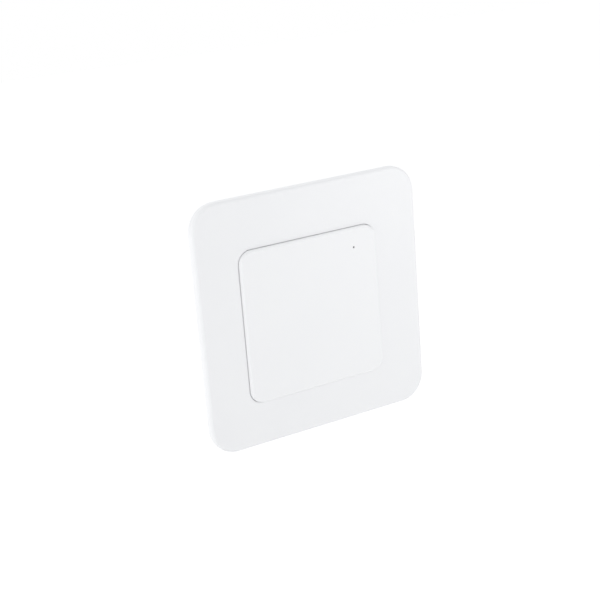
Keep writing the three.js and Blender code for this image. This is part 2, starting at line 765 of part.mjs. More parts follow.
place("uplink_jack", makeJack(-JACK_CENTRE_X), NICKEL);
place("second_jack", makeJack(JACK_CENTRE_X), NICKEL);

const switchBack = PARTS_FRONT - SWITCH_HEIGHT;
const buttonFoot = switchBack - BUTTON_TRAVEL_GAP;
place(
  "reset_switch",
  blockAt(BUTTON_X, JACK_CENTRE_Y, SWITCH_SIDE, SWITCH_SIDE, switchBack, PARTS_FRONT),
  CHIP,
);
place(
  "reset_button",
  rod(BUTTON_X, JACK_CENTRE_Y, BUTTON_RADIUS, FLOOR_BACK + BUTTON_SINK, buttonFoot).add(
    rod(BUTTON_X, JACK_CENTRE_Y, BUTTON_FOOT_RADIUS, buttonFoot - BUTTON_FOOT_THICK, buttonFoot),
  ),
  BLACK,
);

[-1, 1].forEach((side) => {
  place(
    side < 0 ? "shield_can_left" : "shield_can_right",
    blockAt(
      side * SHIELD_OFFSET_X,
      SHIELD_Y,
      SHIELD_WIDTH,
      SHIELD_BREADTH,
      PARTS_FRONT - SHIELD_HEIGHT,
      PARTS_FRONT,
    ),
    NICKEL,
  );
});
[1, 2].forEach((n) => {
  place(
    `line_transformer_${n}`,
    blockAt(
      MAGNETICS_X,
      MAGNETICS_Y - (n - 1) * MAGNETICS_PITCH,
      MAGNETICS_WIDTH,
      MAGNETICS_BREADTH,
      PARTS_FRONT - MAGNETICS_HEIGHT,
      PARTS_FRONT,
    ),
    CHIP,
  );
  place(
    `capacitor_${n}`,
    rod(
      CAPACITOR_X,
      CAPACITOR_Y - (n - 1) * CAPACITOR_PITCH,
      CAPACITOR_RADIUS,
      PARTS_FRONT - CAPACITOR_HEIGHT,
      PARTS_FRONT,
      16,
    ),
    ALUMINIUM,
  );
});
place(
  "power_inductor",
  blockAt(
    CAPACITOR_X - 2 * INDUCTOR_SIDE,
    CAPACITOR_Y - CAPACITOR_PITCH,
    INDUCTOR_SIDE,
    INDUCTOR_SIDE,
    PARTS_FRONT - INDUCTOR_HEIGHT,
    PARTS_FRONT,
  ),
  CHIP,
);
place("processor", blockAt(0, SINK_CENTRE_Y, CPU_SIDE, CPU_SIDE, CPU_BACK, PARTS_FRONT), CHIP);
place("thermal_pad", blockAt(0, SINK_CENTRE_Y, CPU_SIDE, CPU_SIDE, PAD_BACK, PAD_FRONT), THERMAL);

// An inverted-F antenna of sheet metal on the board's front: two feet and a slotted top strip.
function makeAntenna(sx, sy) {
  const x = sx * ANTENNA_X;
  const y = sy * ANTENNA_Y;
  const foot = BOARD_FRONT + CONTACT_GAP;
  const top = foot + ANTENNA_HEIGHT;
  const left = x - ANTENNA_LENGTH / 2;
  const strip = block(
    left,
    left + ANTENNA_LENGTH,
    y - ANTENNA_WIDTH / 2,
    y + ANTENNA_WIDTH / 2,
    top - ANTENNA_SHEET,
    top,
  );
  const leg = (offset) =>
    block(
      left + offset,
      left + offset + ANTENNA_FOOT,
      y - ANTENNA_WIDTH / 2,
      y - ANTENNA_WIDTH / 2 + ANTENNA_SHEET,
      foot,
      top,
    );
  const slot = block(
    left + ANTENNA_SLOT_START,
    left + ANTENNA_LENGTH + OVERCUT,
    y - ANTENNA_SLOT / 2,
    y + ANTENNA_SLOT / 2,
    top - ANTENNA_SHEET - OVERCUT,
    top + OVERCUT,
  );
  return strip.add(leg(0)).add(leg(ANTENNA_FEET_PITCH)).subtract(slot);
}

corners.forEach(([sx, sy], i) => {
  place(`antenna_${i + 1}`, makeAntenna(sx, sy), BRASS);
});

// ---- heat sink over the window in the tub's floor ----

function makeHeatSink() {
  const base = slab(
    roundedRect(SINK_WIDTH, SINK_HEIGHT, SINK_CORNER, 0, SINK_CENTRE_Y),
    SINK_BASE_BACK,
    SINK_BASE_FRONT,
    4,
  );
  const finSpan = SINK_WIDTH - 2 * SINK_FIN_MARGIN_X - SINK_FIN_THICK;
  const fins = Array.from({ length: SINK_FIN_COUNT }, (_, i) =>
    blockAt(
      -finSpan / 2 + (i * finSpan) / (SINK_FIN_COUNT - 1),
      SINK_CENTRE_Y,
      SINK_FIN_THICK,
      SINK_HEIGHT - 2 * SINK_FIN_MARGIN_Y,
      SINK_BASE_BACK - SINK_FIN_HEIGHT,
      SINK_BASE_BACK + SINK_BASE / 2,
    ),
  );
  const pedestal = blockAt(
    0,
    SINK_CENTRE_Y,
    PEDESTAL_SIDE,
    PEDESTAL_SIDE,
    SINK_BASE_BACK + SINK_BASE / 2,
    PAD_BACK - CONTACT_GAP,
  );
  const holes = sinkScrewPlaces.map(([x, y]) =>
    rod(x, y, SMALL_SHANK + CONTACT_GAP, SINK_BASE_BACK - OVERCUT, SINK_BASE_FRONT + OVERCUT, 12),
  );
  return together([base, pedestal, ...fins]).subtract(together(holes));
}

place("heat_sink", makeHeatSink(), ALUMINIUM);
sinkScrewPlaces.forEach(([x, y], i) => {
  place(`heat_sink_screw_${i + 1}`, smallScrew(x, y, SINK_BASE_BACK - CONTACT_GAP, 1), STEEL);
});

// ---- the device frame turned upright: the face looks along -Y, +Z is up ----

device.rotation.x = Math.PI / 2;
const part = new THREE.Group();
part.add(device);

export default part;
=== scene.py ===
# %% [markdown]
# # A flush ceiling access point
# The packed model is the skeleton: it says where each piece is and what moves with what. This
# lesson gives it its skin. The frame is loaded first and its box is kept, because nothing made
# here may reach outside it.

# %% Load the frame
import json
import math
from collections import namedtuple
import bpy
import numpy as np
from mathutils import Matrix, Vector


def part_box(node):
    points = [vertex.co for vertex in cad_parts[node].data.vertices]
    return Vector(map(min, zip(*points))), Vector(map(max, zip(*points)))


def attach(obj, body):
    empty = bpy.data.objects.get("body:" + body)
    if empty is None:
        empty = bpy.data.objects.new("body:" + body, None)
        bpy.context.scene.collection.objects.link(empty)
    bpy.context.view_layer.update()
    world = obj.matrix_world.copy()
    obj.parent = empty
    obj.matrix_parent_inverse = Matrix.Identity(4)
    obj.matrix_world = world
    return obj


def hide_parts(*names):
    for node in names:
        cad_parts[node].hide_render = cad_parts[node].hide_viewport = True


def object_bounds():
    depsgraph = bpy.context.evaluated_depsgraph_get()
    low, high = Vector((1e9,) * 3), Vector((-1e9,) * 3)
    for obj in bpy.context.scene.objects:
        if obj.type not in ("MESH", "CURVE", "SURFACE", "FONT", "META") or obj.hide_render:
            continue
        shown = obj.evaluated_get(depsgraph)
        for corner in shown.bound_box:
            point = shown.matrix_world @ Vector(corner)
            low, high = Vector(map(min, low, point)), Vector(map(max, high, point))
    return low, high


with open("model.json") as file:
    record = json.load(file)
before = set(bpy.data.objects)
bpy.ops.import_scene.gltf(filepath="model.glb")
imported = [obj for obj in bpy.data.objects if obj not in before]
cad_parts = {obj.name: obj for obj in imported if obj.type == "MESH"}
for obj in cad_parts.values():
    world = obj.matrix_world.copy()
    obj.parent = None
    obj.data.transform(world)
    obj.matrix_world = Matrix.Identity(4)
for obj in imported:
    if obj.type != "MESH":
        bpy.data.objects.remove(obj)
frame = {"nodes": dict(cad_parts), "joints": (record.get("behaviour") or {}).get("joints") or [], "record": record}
cad_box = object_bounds()
MM = 0.001
print("box, mm:", [[round(v / MM, 2) for v in corner] for corner in cad_box])

# %% [markdown]
# ## Camera
# A product shot from the left and a little above, through a long lens. The camera goes where a
# person would put a tripod: a point to aim at, two angles, a distance, and a slight roll. A matrix
# whose columns are right, up and back is all that a camera's turn is.

# %% Camera
AIM = Vector((-0.0039, 0.0062, 0.0091))
AZIMUTH, ELEVATION, ROLL = (math.radians(degrees) for degrees in (-29.609, 17.279, -4.604))
DISTANCE = 1.156
LENS = 79.602


def direction(azimuth, elevation):
    """The unit vector from the middle towards a viewer at these two angles."""
    flat = math.cos(elevation)
    return Vector((math.sin(azimuth) * flat, -math.cos(azimuth) * flat, math.sin(elevation)))


back = direction(AZIMUTH, ELEVATION)
level = Vector((math.cos(AZIMUTH), math.sin(AZIMUTH), 0))
right = level * math.cos(ROLL) + back.cross(level) * math.sin(ROLL)
turn = Matrix((right, back.cross(right), back)).transposed().to_4x4()
lens = bpy.data.cameras.new("camera")
lens.lens = LENS
camera = bpy.data.objects.new("camera", lens)
camera.matrix_world = Matrix.Translation(AIM + back * DISTANCE) @ turn
bpy.context.scene.collection.objects.link(camera)
bpy.context.scene.camera = camera
print("camera at", [round(v, 3) for v in camera.matrix_world.translation])

# %% [markdown]
# ## Light and floor
# White on white needs very even light, or the plate goes grey. The world does most of the work.
# The camera sees it as plain white, and the object is lit by a slightly weaker sky that is
# brightest above and on the left. A soft box on the right adds the slow change across the plate.
# One on the left is almost level with the face, so it brightens mostly the edges turned that way.
# A third, behind, gives the metal something to reflect. The floor is pale and far below, so it
# takes no shadow. The Standard view transform keeps white as white.

# %% World
SKY = 0.674
SKY_FROM_LEFT = 0.15
SKY_FROM_ABOVE = 0.187
SKY_FROM_BEHIND = 0.052

scene = bpy.context.scene
scene.view_settings.view_transform = "Standard"
world = bpy.data.worlds.new("white_room")
world.use_nodes = True
scene.world = world
sky = world.node_tree
backdrop = sky.nodes["Background"]
seen = sky.nodes.new("ShaderNodeBackground")
seen.inputs["Color"].default_value = (1, 1, 1, 1)
towards = sky.nodes.new("ShaderNodeTexCoord")
lean = sky.nodes.new("ShaderNodeVectorMath")
lean.operation = "DOT_PRODUCT"
lean.inputs[1].default_value = (-SKY_FROM_LEFT, SKY_FROM_BEHIND, SKY_FROM_ABOVE)
level_up = sky.nodes.new("ShaderNodeMath")
level_up.inputs[1].default_value = SKY
path = sky.nodes.new("ShaderNodeLightPath")
choose = sky.nodes.new("ShaderNodeMixShader")
backdrop.inputs["Color"].default_value = (0.985, 0.99, 1, 1)
sky.links.new(towards.outputs["Generated"], lean.inputs[0])
sky.links.new(lean.outputs["Value"], level_up.inputs[0])
sky.links.new(level_up.outputs[0], backdrop.inputs["Strength"])
sky.links.new(path.outputs["Is Camera Ray"], choose.inputs[0])
sky.links.new(backdrop.outputs[0], choose.inputs[1])
sky.links.new(seen.outputs[0], choose.inputs[2])
sky.links.new(choose.outputs[0], sky.nodes["World Output"].inputs["Surface"])
print("sky, right:", round(SKY - SKY_FROM_LEFT, 2), "left:", round(SKY + SKY_FROM_LEFT, 2))

# %% Soft boxes
SoftBox = namedtuple("SoftBox", "name azimuth elevation distance side power")
SOFT_BOXES = [
    SoftBox("box_right", 38, 22, 0.6, 0.35, 0.558),
    SoftBox("box_left", -88, 20, 1.1, 0.2, 1.3),
    SoftBox("box_behind", 160, 40, 1.3, 0.7, 2.0),
]


def hang(box):
    """A square area light at two angles and a distance, facing the middle, unseen by the camera."""
    light = bpy.data.lights.new(box.name, "AREA")
    light.size = box.side
    light.energy = box.power
    lamp = bpy.data.objects.new(box.name, light)
    lamp.visible_camera = False
    away = direction(math.radians(box.azimuth), math.radians(box.elevation))
    facing = away.to_track_quat("Z", "Y").to_matrix().to_4x4()
    lamp.matrix_world = Matrix.Translation(away * box.distance) @ facing
    scene.collection.objects.link(lamp)
    return lamp


print("lamps:", [hang(box).name for box in SOFT_BOXES])

# %% [markdown]
# ## Shader maths
# A finish here is written as a formula. `Wire` wraps one shader socket, and adding or multiplying
# wires adds the Math nodes. `Finish` holds a material and makes every other node with one method.
# Every pattern reads Object coordinates, which are metres in the frame, so grain has a real size.

# %% Wires


class Wire:
    """A shader socket that can be used in a Python expression."""

    def __init__(self, finish, socket):
        self.finish = finish
        self.socket = socket

    def math(self, operation, *values, clamp=False):
        settings = {"operation": operation, "use_clamp": clamp}
        return self.finish.node("ShaderNodeMath", settings, dict(enumerate(values)))

    def __add__(self, other):
        return self.math("ADD", self, other)

    def __sub__(self, other):
        return self.math("SUBTRACT", self, other)

    def __rsub__(self, other):
        return self.math("SUBTRACT", other, self)

    def __mul__(self, other):
        return self.math("MULTIPLY", self, other)

    def __truediv__(self, other):
        return self.math("DIVIDE", self, other)

    def __gt__(self, other):
        return self.math("GREATER_THAN", self, other)

    def __lt__(self, other):
        return self.math("LESS_THAN", self, other)

    def __abs__(self):
        return self.math("ABSOLUTE", self)

    __radd__ = __add__
    __rmul__ = __mul__

    def ramp(self, low, high):
        """0 below low, 1 above high, and straight between: (self - low) / (high - low), held in 0..1."""
        return self.math("MULTIPLY", self - low, 1 / (high - low), clamp=True)

    def wave(self, period):
        """A triangle, 1 at each whole period and 0 halfway between: |2 * (fraction of self / period) - 1|."""
        periods = self / period
        return abs(periods.math("FRACT", periods) - 0.5) * 2


print("a wire also has:", Wire.ramp.__name__, Wire.wave.__name__)

# %% Finishes


class Finish:
    """A material, its Principled shader, and the one way to add a node to it."""

    def __init__(self, name, **constants):
        self.material = bpy.data.materials.new(name)
        self.material.use_nodes = True
        self.tree = self.material.node_tree
        self.shader = self.tree.nodes["Principled BSDF"]
        self.place = self.node("ShaderNodeTexCoord", out="Object")
        self.set(**constants)

    def feed(self, node, key, value):
        if isinstance(value, Wire):
            self.tree.links.new(value.socket, node.inputs[key])
        else:
            node.inputs[key].default_value = value

    def node(self, kind, settings=None, inputs=None, out=0):
        made = self.tree.nodes.new(kind)
        for setting, value in (settings or {}).items():
            setattr(made, setting, value)
        for key, value in (inputs or {}).items():
            self.feed(made, key, value)
        return Wire(self, made.outputs[out])

    def stretched(self, factors):
        """The place with each axis multiplied by its own factor."""
        multiply = {"operation": "MULTIPLY"}
        return self.node("ShaderNodeVectorMath", multiply, {0: self.place, 1: factors})

    def noise(self, size, detail=2.0, stretch=(1, 1, 1)):
        """Cloudy noise from 0 to 1 whose lumps are about size metres across."""
        scaled = self.stretched([s / size for s in stretch])
        return self.node("ShaderNodeTexNoise", inputs={"Vector": scaled, "Scale": 1.0, "Detail": detail})

    def cells(self, size):
        """Distance to the nearest of scattered points that are about size metres apart."""
        inputs = {"Vector": self.place, "Scale": 1 / size}
        return self.node("ShaderNodeTexVoronoi", inputs=inputs, out="Distance")

    def axis(self, letter):
        """One of x, y and z in metres."""
        return self.node("ShaderNodeSeparateXYZ", inputs={0: self.place}, out="XYZ".index(letter.upper()))

    def flat_place(self):
        """The place with its height left out, so its length is the distance from the upright axis."""
        return self.stretched((1, 1, 0))

    def blend(self, share, first, second):
        """A colour: first where share is 0, second where it is 1."""
        rgba = {6: solid(first), 7: solid(second)}
        return self.node("ShaderNodeMix", {"data_type": "RGBA"}, {0: share, **rgba}, out=2)

    def math_max(self, first, second):
        return first.math("MAXIMUM", first, second)

    def bump(self, height, depth):
        """Normals from a height from 0 to 1 that stands for depth metres."""
        return self.node("ShaderNodeBump", inputs={"Height": height, "Distance": depth, "Strength": 1.0})

    def set(self, **sockets):
        for socket, value in sockets.items():
            self.feed(self.shader, socket.replace("_", " "), value)
        return self.material


def solid(colour):
    return colour if isinstance(colour, Wire) else (*colour, 1)


print("a finish makes:", [name for name in vars(Finish) if not name.startswith("_")])

# %% [markdown]
# ## Floor
# One large quad, whose faint own light brings it up to the same white as the sky behind it. A disc
# right below the object is painted grey and fades out to the white. It stands in for the shade
# there, so the plate's lower edge is lit less than its upper one. It shows only from a steep angle.

# %% Floor
FLOOR_DROP = 0.42
FLOOR_REACH = 6.0
FLOOR_GLOW = 0.285
SHADE_INNER = 0.15
SHADE_OUTER = 0.42

floor_paint = Finish("floor_white", Roughness=0.9, Emission_Strength=FLOOR_GLOW)
length = {"operation": "LENGTH"}
from_middle = floor_paint.node("ShaderNodeVectorMath", length, {0: floor_paint.flat_place()}, "Value")
open_floor = from_middle.ramp(SHADE_INNER, SHADE_OUTER)
floor_paint.set(
    Base_Color=floor_paint.blend(open_floor, (0.6, 0.6, 0.6), (0.95, 0.95, 0.95)),
    Emission_Color=floor_paint.blend(open_floor, (0.05, 0.05, 0.05), (1, 1, 1)),
)
drop = cad_box[0].z - FLOOR_DROP
floor_mesh = bpy.data.meshes.new("floor")
square = ((-1, -1), (1, -1), (1, 1), (-1, 1))
floor_corners = [(x * FLOOR_REACH, y * FLOOR_REACH, drop) for x, y in square]
floor_mesh.from_pydata(floor_corners, [], [(0, 1, 2, 3)])
floor_mesh.materials.append(floor_paint.material)
floor = bpy.data.objects.new("floor", floor_mesh)
scene.collection.objects.link(floor)
print("floor at", round(drop, 3))

# %% [markdown]
# ## Satin white
# The plate and the cover are moulded in white plastic. The tool is spark-eroded, so the surface has
# a very fine grain, a tenth of a millimetre or so, that spreads the highlight. Two clouds do the
# rest: a wide one shifts gloss and colour by a hair, and a fine one is the grain.

# %% Satin white


def satin_white(name, tint, shade, roughness, grain_size, grain_depth):
    """Moulded white: colour and gloss drift over centimetres, and grain stands grain_depth high."""
    finish = Finish(name, IOR=1.49)
    drift = finish.noise(0.06, 3)
    grain = finish.noise(grain_size, 3)
    specks = finish.cells(grain_size * 2.4).ramp(0.0, 0.55)
    height = grain * 0.7 + specks * 0.3
    return finish.set(
        Base_Color=finish.blend(drift.ramp(0.3, 0.7), tint, shade),
        Roughness=roughness + drift * 0.06 + grain * 0.05,
        Normal=finish.bump(height, grain_depth),
    )


TRIM_WHITE = satin_white("trim_white", (0.905, 0.91, 0.918), (0.895, 0.9, 0.91), 0.42, 0.00016, 0.000006)
COVER_WHITE = satin_white("cover_white", (0.915, 0.92, 0.926), (0.906, 0.911, 0.92), 0.38, 0.00013, 0.000005)
print("whites:", TRIM_WHITE.name, COVER_WHITE.name)

# %% [markdown]
# ## Outlines and rings
# Nearly every moulded piece here is a rounded square carried along a profile. An outline is written
# in polar form, so a ring of it is one formula over all its angles, and rings of different outlines
# have matching points. A profile is a list of steps: which outline, how far out from it, and how
# high above the ceiling. Closing the profile on itself gives a shell with no poles and no seams.

# %% Outlines
Outline = namedtuple("Outline", "half corner x z angles")
CORNER_SPREAD = math.radians(11)
CORNER_POINTS = 36
SIDE_POINTS = 8


def quarter_angles():
    """Angles for one ring: close together where corners bend, near 45 degrees, and wide on the sides."""
    start, stop = math.pi / 4 - CORNER_SPREAD, math.pi / 4 + CORNER_SPREAD
    bend_part = np.linspace(start, stop, CORNER_POINTS, endpoint=False)
    side_part = np.linspace(stop, start + math.pi / 2, SIDE_POINTS, endpoint=False)
    quarter = np.concatenate([bend_part, side_part])
    return np.concatenate([quarter + turn * math.pi / 2 for turn in range(4)])


SQUARE_ANGLES = quarter_angles()


def ring(outline, out, height):
    """One ring of points, out metres outside an outline and height above the ceiling.

    At an angle with cosine c and sine s a square's edge is half / max(|c|, |s|) from the middle. A
    corner is an arc about a point k = half - corner in from both sides, so the distance t there
    solves (t|c| - k)^2 + (t|s| - k)^2 = corner^2. A circle is the case half = corner.
    """
    half, corner = outline.half + out, outline.corner + out
    c, s = np.cos(outline.angles), np.sin(outline.angles)
    k = half - corner
    both = k * (np.abs(c) + np.abs(s))
    straight = half / np.maximum(np.abs(c), np.abs(s))
    rounded = both + np.sqrt(np.maximum(both**2 - 2 * k**2 + corner**2, 0))
    on_side = straight * np.minimum(np.abs(c), np.abs(s)) <= k
    t = np.where(on_side, straight, rounded)
    return np.stack([outline.x + t * c, np.full_like(t, -height), outline.z + t * s], axis=1)


def bend(outline, out, height, radius, start, stop, steps=6):
    """Profile steps round an arc about (out, height), from one angle to another in degrees."""
    turns = np.radians(np.linspace(start, stop, steps + 1))
    return [(outline, out + radius * math.cos(a), height + radius * math.sin(a)) for a in turns]


def as_piece(name, points, faces, finish, sharp=35):
    """A mesh object at the origin from arrays of points and faces, facing outwards, smooth up to an angle."""
    mesh = bpy.data.meshes.new(name)
    mesh.from_pydata(points, [], faces)
    first = points.mean(axis=0)
    corner = points[np.array([face[:3] for face in faces])] - first
    volume = np.einsum("ij,ij->i", corner[:, 0], np.cross(corner[:, 1], corner[:, 2])).sum()
    if volume < 0:
        mesh.flip_normals()
    mesh.polygons.foreach_set("use_smooth", np.ones(len(faces), bool))
    mesh.set_sharp_from_angle(angle=math.radians(sharp))
    mesh.materials.append(finish)
    mesh.update()
    piece = bpy.data.objects.new(name, mesh)
    scene.collection.objects.link(piece)
    return piece


def grid_faces(rows, columns, closed):
    """Quads of a grid whose columns close on themselves, and whose rows do too if closed is true."""
    r, c = np.meshgrid(np.arange(rows if closed else rows - 1), np.arange(columns), indexing="ij")
    here, along = r * columns + c, r * columns + (c + 1) % columns
    up = ((r + 1) % rows) * columns
    return np.stack([here, along, up + (c + 1) % columns, up + c], axis=-1).reshape(-1, 4)


def loop_shell(name, profile, finish):
    """A shell whose profile closes on itself: every step is a ring, and the last ring joins the first."""
    rings = np.stack([ring(*step) for step in profile])
    rows, columns = rings.shape[:2]
    return as_piece(name, rings.reshape(-1, 3), grid_faces(rows, columns, True).tolist(), finish)


print("angles in a ring:", len(SQUARE_ANGLES))

# %% [markdown]
# ## Trim frame
# The trim is the large white plate: a skin, a skirt that turns back to the ceiling, and a low collar
# round its opening. The frame gives its box and the cover's, and the opening is the cover plus a
# shadow gap. A skin of even thickness with rounded edges is what a moulding tool makes.

# %% Trim shell


def middle_and_half(node):
    """A node's middle across the face, half its width, and its lowest and highest height."""
    low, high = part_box(node)
    return (low.x + high.x) / 2, (low.z + high.z) / 2, (high.x - low.x) / 2, -high.y, -low.y


PLATE_CORNER = 24 * MM
COVER_CORNER = 12 * MM
SHADOW_GAP = 0.4 * MM
TRIM_WALL = 2.2 * MM
PLATE_EDGE = 3 * MM
COLLAR_WALL = 1.6 * MM
COLLAR_FOOT = 4.5 * MM
SOFT = 0.3 * MM
HOLD = 0.6 * MM

plate_x, plate_z, plate_half, plate_foot, plate_front = middle_and_half("trim_frame")
cover_x, cover_z, cover_half, hook_end, cover_front = middle_and_half("front_cover")
plate = Outline(plate_half, PLATE_CORNER, plate_x, plate_z, SQUARE_ANGLES)
gap_edge = Outline(cover_half + SHADOW_GAP, COVER_CORNER + SHADOW_GAP, cover_x, cover_z, SQUARE_ANGLES)
skin_back = plate_front - TRIM_WALL
FOOT_ROUND = 0.4 * MM

trim_profile = [
    *bend(plate, -FOOT_ROUND, plate_foot + FOOT_ROUND, FOOT_ROUND, -90, 0, 4),
    (plate, 0, plate_front - PLATE_EDGE - HOLD),
    *bend(plate, -PLATE_EDGE, plate_front - PLATE_EDGE, PLATE_EDGE, 0, 90, 12),
    (plate, -PLATE_EDGE - HOLD, plate_front),
    (gap_edge, SOFT + HOLD, plate_front),
    *bend(gap_edge, SOFT, plate_front - SOFT, SOFT, 90, 180, 5),
    *bend(gap_edge, SOFT, COLLAR_FOOT + SOFT, SOFT, 180, 270, 4),
    *bend(gap_edge, COLLAR_WALL - SOFT, COLLAR_FOOT + SOFT, SOFT, -90, 0, 4),
    *bend(gap_edge, COLLAR_WALL + SOFT, skin_back - SOFT, SOFT, 180, 90, 4),
    (gap_edge, COLLAR_WALL + SOFT + HOLD, skin_back),
    (plate, -TRIM_WALL - HOLD - SOFT, skin_back),
    *bend(plate, -TRIM_WALL - SOFT, skin_back - SOFT, SOFT, 90, 0, 4),
    *bend(plate, -TRIM_WALL + FOOT_ROUND, plate_foot + FOOT_ROUND, FOOT_ROUND, 180, 270, 4),
]
trim_shell = loop_shell("trim_shell", trim_profile, TRIM_WHITE)
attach(trim_shell, "trim")
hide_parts("trim_frame")
print("trim shell:", len(trim_profile), "rings")

# %% [markdown]
# ## Front cover
# The cover stands a few millimetres out of the trim and lets radio through. Its only mark is a
# pinhole for the indicator, with a boss behind it that holds the light pipe. One closed profile runs
# from the pinhole over the face, round the edge, up the inside and back down the boss. The rings
# round the hole are aimed at the points of the outer rings, so the faces between them never cross.

# %% Cover shell
COVER_EDGE = 2.4 * MM
COVER_WALL = 2 * MM
COVER_FOOT = 4.3 * MM
PINHOLE_RADIUS = 0.9 * MM
PINHOLE_SOFT = 0.12 * MM
BOSS_BORE = 2.3 * MM
BOSS_RADIUS = 3.5 * MM
BOSS_FOOT = 3 * MM
SMALL_SOFT = 0.2 * MM

lamp_x, lamp_z, _, _, _ = middle_and_half("status_led")
cover = Outline(cover_half, COVER_CORNER, cover_x, cover_z, SQUARE_ANGLES)
outer = ring(cover, 0, cover_front)
spokes = np.arctan2(outer[:, 2] - lamp_z, outer[:, 0] - lamp_x)
round_radii = (PINHOLE_RADIUS, BOSS_BORE, BOSS_RADIUS)
pinhole, bore, boss = (Outline(r, r, lamp_x, lamp_z, spokes) for r in round_radii)
cover_inside = cover_front - COVER_WALL

cover_profile = [
    *bend(cover, -SOFT, COVER_FOOT + SOFT, SOFT, -90, 0, 4),
    (cover, 0, cover_front - COVER_EDGE - HOLD),
    *bend(cover, -COVER_EDGE, cover_front - COVER_EDGE, COVER_EDGE, 0, 90, 12),
    (cover, -COVER_EDGE - HOLD, cover_front),
    (pinhole, PINHOLE_SOFT + HOLD, cover_front),
    *bend(pinhole, PINHOLE_SOFT, cover_front - PINHOLE_SOFT, PINHOLE_SOFT, 90, 180, 4),
    (pinhole, 0, cover_inside),
    (bore, 0, cover_inside),
    *bend(bore, SMALL_SOFT, BOSS_FOOT + SMALL_SOFT, SMALL_SOFT, 180, 270, 4),
    *bend(boss, -SMALL_SOFT, BOSS_FOOT + SMALL_SOFT, SMALL_SOFT, -90, 0, 4),
    *bend(boss, SOFT, cover_inside - SOFT, SOFT, 180, 90, 4),
    (boss, SOFT + HOLD, cover_inside),
    (cover, -COVER_WALL - SOFT - HOLD, cover_inside),
    *bend(cover, -COVER_WALL - SOFT, cover_inside - SOFT, SOFT, 90, 0, 4),
    *bend(cover, -COVER_WALL + SOFT, COVER_FOOT + SOFT, SOFT, 180, 270, 4),
]
cover_shell = loop_shell("cover_shell", cover_profile, COVER_WHITE)
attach(cover_shell, "housing")
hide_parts("front_cover")
print("cover shell:", len(cover_profile), "rings")

# %% [markdown]
# ## Finishes for what is behind the face
# Each hard part gets the finish of how it is made. The housing is moulded with a coarser grain. Zinc
# plate is cloudy and a little blue. Nickel-plated sheet keeps rolling lines in one direction.
# Die-cast and blasted aluminium is matt with fine pits.

# %% Plastics and rubber


def housing_grey():
    """Light grey moulding: coarse leather-like grain, and faint flow marks that change the gloss."""
    finish = Finish("housing_grey", IOR=1.5)
    grain = finish.cells(0.0009).ramp(0.05, 0.6)
    flow = finish.noise(0.03, 3, (1, 0.2, 1))
    fine = finish.noise(0.0003, 2)
    return finish.set(
        Base_Color=finish.blend(flow.ramp(0.3, 0.7), (0.66, 0.67, 0.68), (0.7, 0.71, 0.72)),
        Roughness=0.5 + flow * 0.08 + fine * 0.06,
        Normal=finish.bump(grain * 0.75 + fine * 0.25, 0.00003),
    )


def closed_foam():
    """Dark foam: a skin pricked by cells of a quarter millimetre and a few larger ones."""
    finish = Finish("foam_dark", Sheen_Weight=0.25, Sheen_Roughness=0.6, IOR=1.45)
    small = finish.cells(0.00028).ramp(0.1, 0.5)
    large = finish.cells(0.0011).ramp(0.12, 0.3)
    dust = finish.noise(0.02, 4).ramp(0.45, 0.75)
    return finish.set(
        Base_Color=finish.blend(dust, (0.04, 0.041, 0.044), (0.075, 0.077, 0.082)),
        Roughness=0.82 + small * 0.12,
        Normal=finish.bump(small * 0.5 + large * 0.5, 0.00014),
    )


def black_nylon():
    """Glass-filled nylon: nearly black, with short pale fibres just under the skin."""
    finish = Finish("black_nylon", IOR=1.53)
    fibres = finish.noise(0.00035, 2, (1, 0.25, 1)).ramp(0.62, 0.72)
    cloud = finish.noise(0.004, 3)
    return finish.set(
        Base_Color=finish.blend(fibres, (0.022, 0.023, 0.026), (0.06, 0.062, 0.066)),
        Roughness=0.42 + cloud * 0.2 + fibres * 0.1,
        Normal=finish.bump(cloud * 0.6 + fibres * 0.4, 0.00002),
    )


def thermal_rubber():
    """Soft pad: matt grey-blue with ceramic grit pressed into it."""
    finish = Finish("thermal_rubber", IOR=1.42)
    grit = finish.cells(0.0005).ramp(0.1, 0.5)
    return finish.set(
        Base_Color=finish.blend(grit, (0.36, 0.44, 0.52), (0.27, 0.34, 0.42)),
        Roughness=0.8 + grit * 0.15,
        Normal=finish.bump(grit, 0.00004),
    )


def chip_moulding():
    """Black package resin: very fine silica grain with slightly paler, glossier patches."""
    finish = Finish("chip_black", IOR=1.55)
    silica = finish.noise(0.00012, 2)
    patch = finish.noise(0.006, 2)
    return finish.set(
        Base_Color=finish.blend(patch, (0.03, 0.03, 0.033), (0.05, 0.05, 0.053)),
        Roughness=0.5 + patch * 0.15,
        Normal=finish.bump(silica, 0.000012),
    )


HOUSING_GREY = housing_grey()
FOAM_DARK = closed_foam()
BLACK_NYLON = black_nylon()
THERMAL_RUBBER = thermal_rubber()
CHIP_BLACK = chip_moulding()
print("plastics:", HOUSING_GREY.name, FOAM_DARK.name, BLACK_NYLON.name, THERMAL_RUBBER.name)

# %% Metals


def plated(name, bright, dull, roughness, line_size, line_stretch, depth, cloud_size=0.008):
    """Plated metal: lines drawn out along one axis, over clouds that change colour and gloss."""
    finish = Finish(name, Metallic=1.0)
    lines = finish.noise(line_size, 3, line_stretch)
    cloud = finish.noise(cloud_size, 4)
    return finish.set(
        Base_Color=finish.blend(cloud.ramp(0.3, 0.7), bright, dull),
        Roughness=roughness + cloud * 0.14 + lines * 0.08,
        Normal=finish.bump(lines, depth),
    )


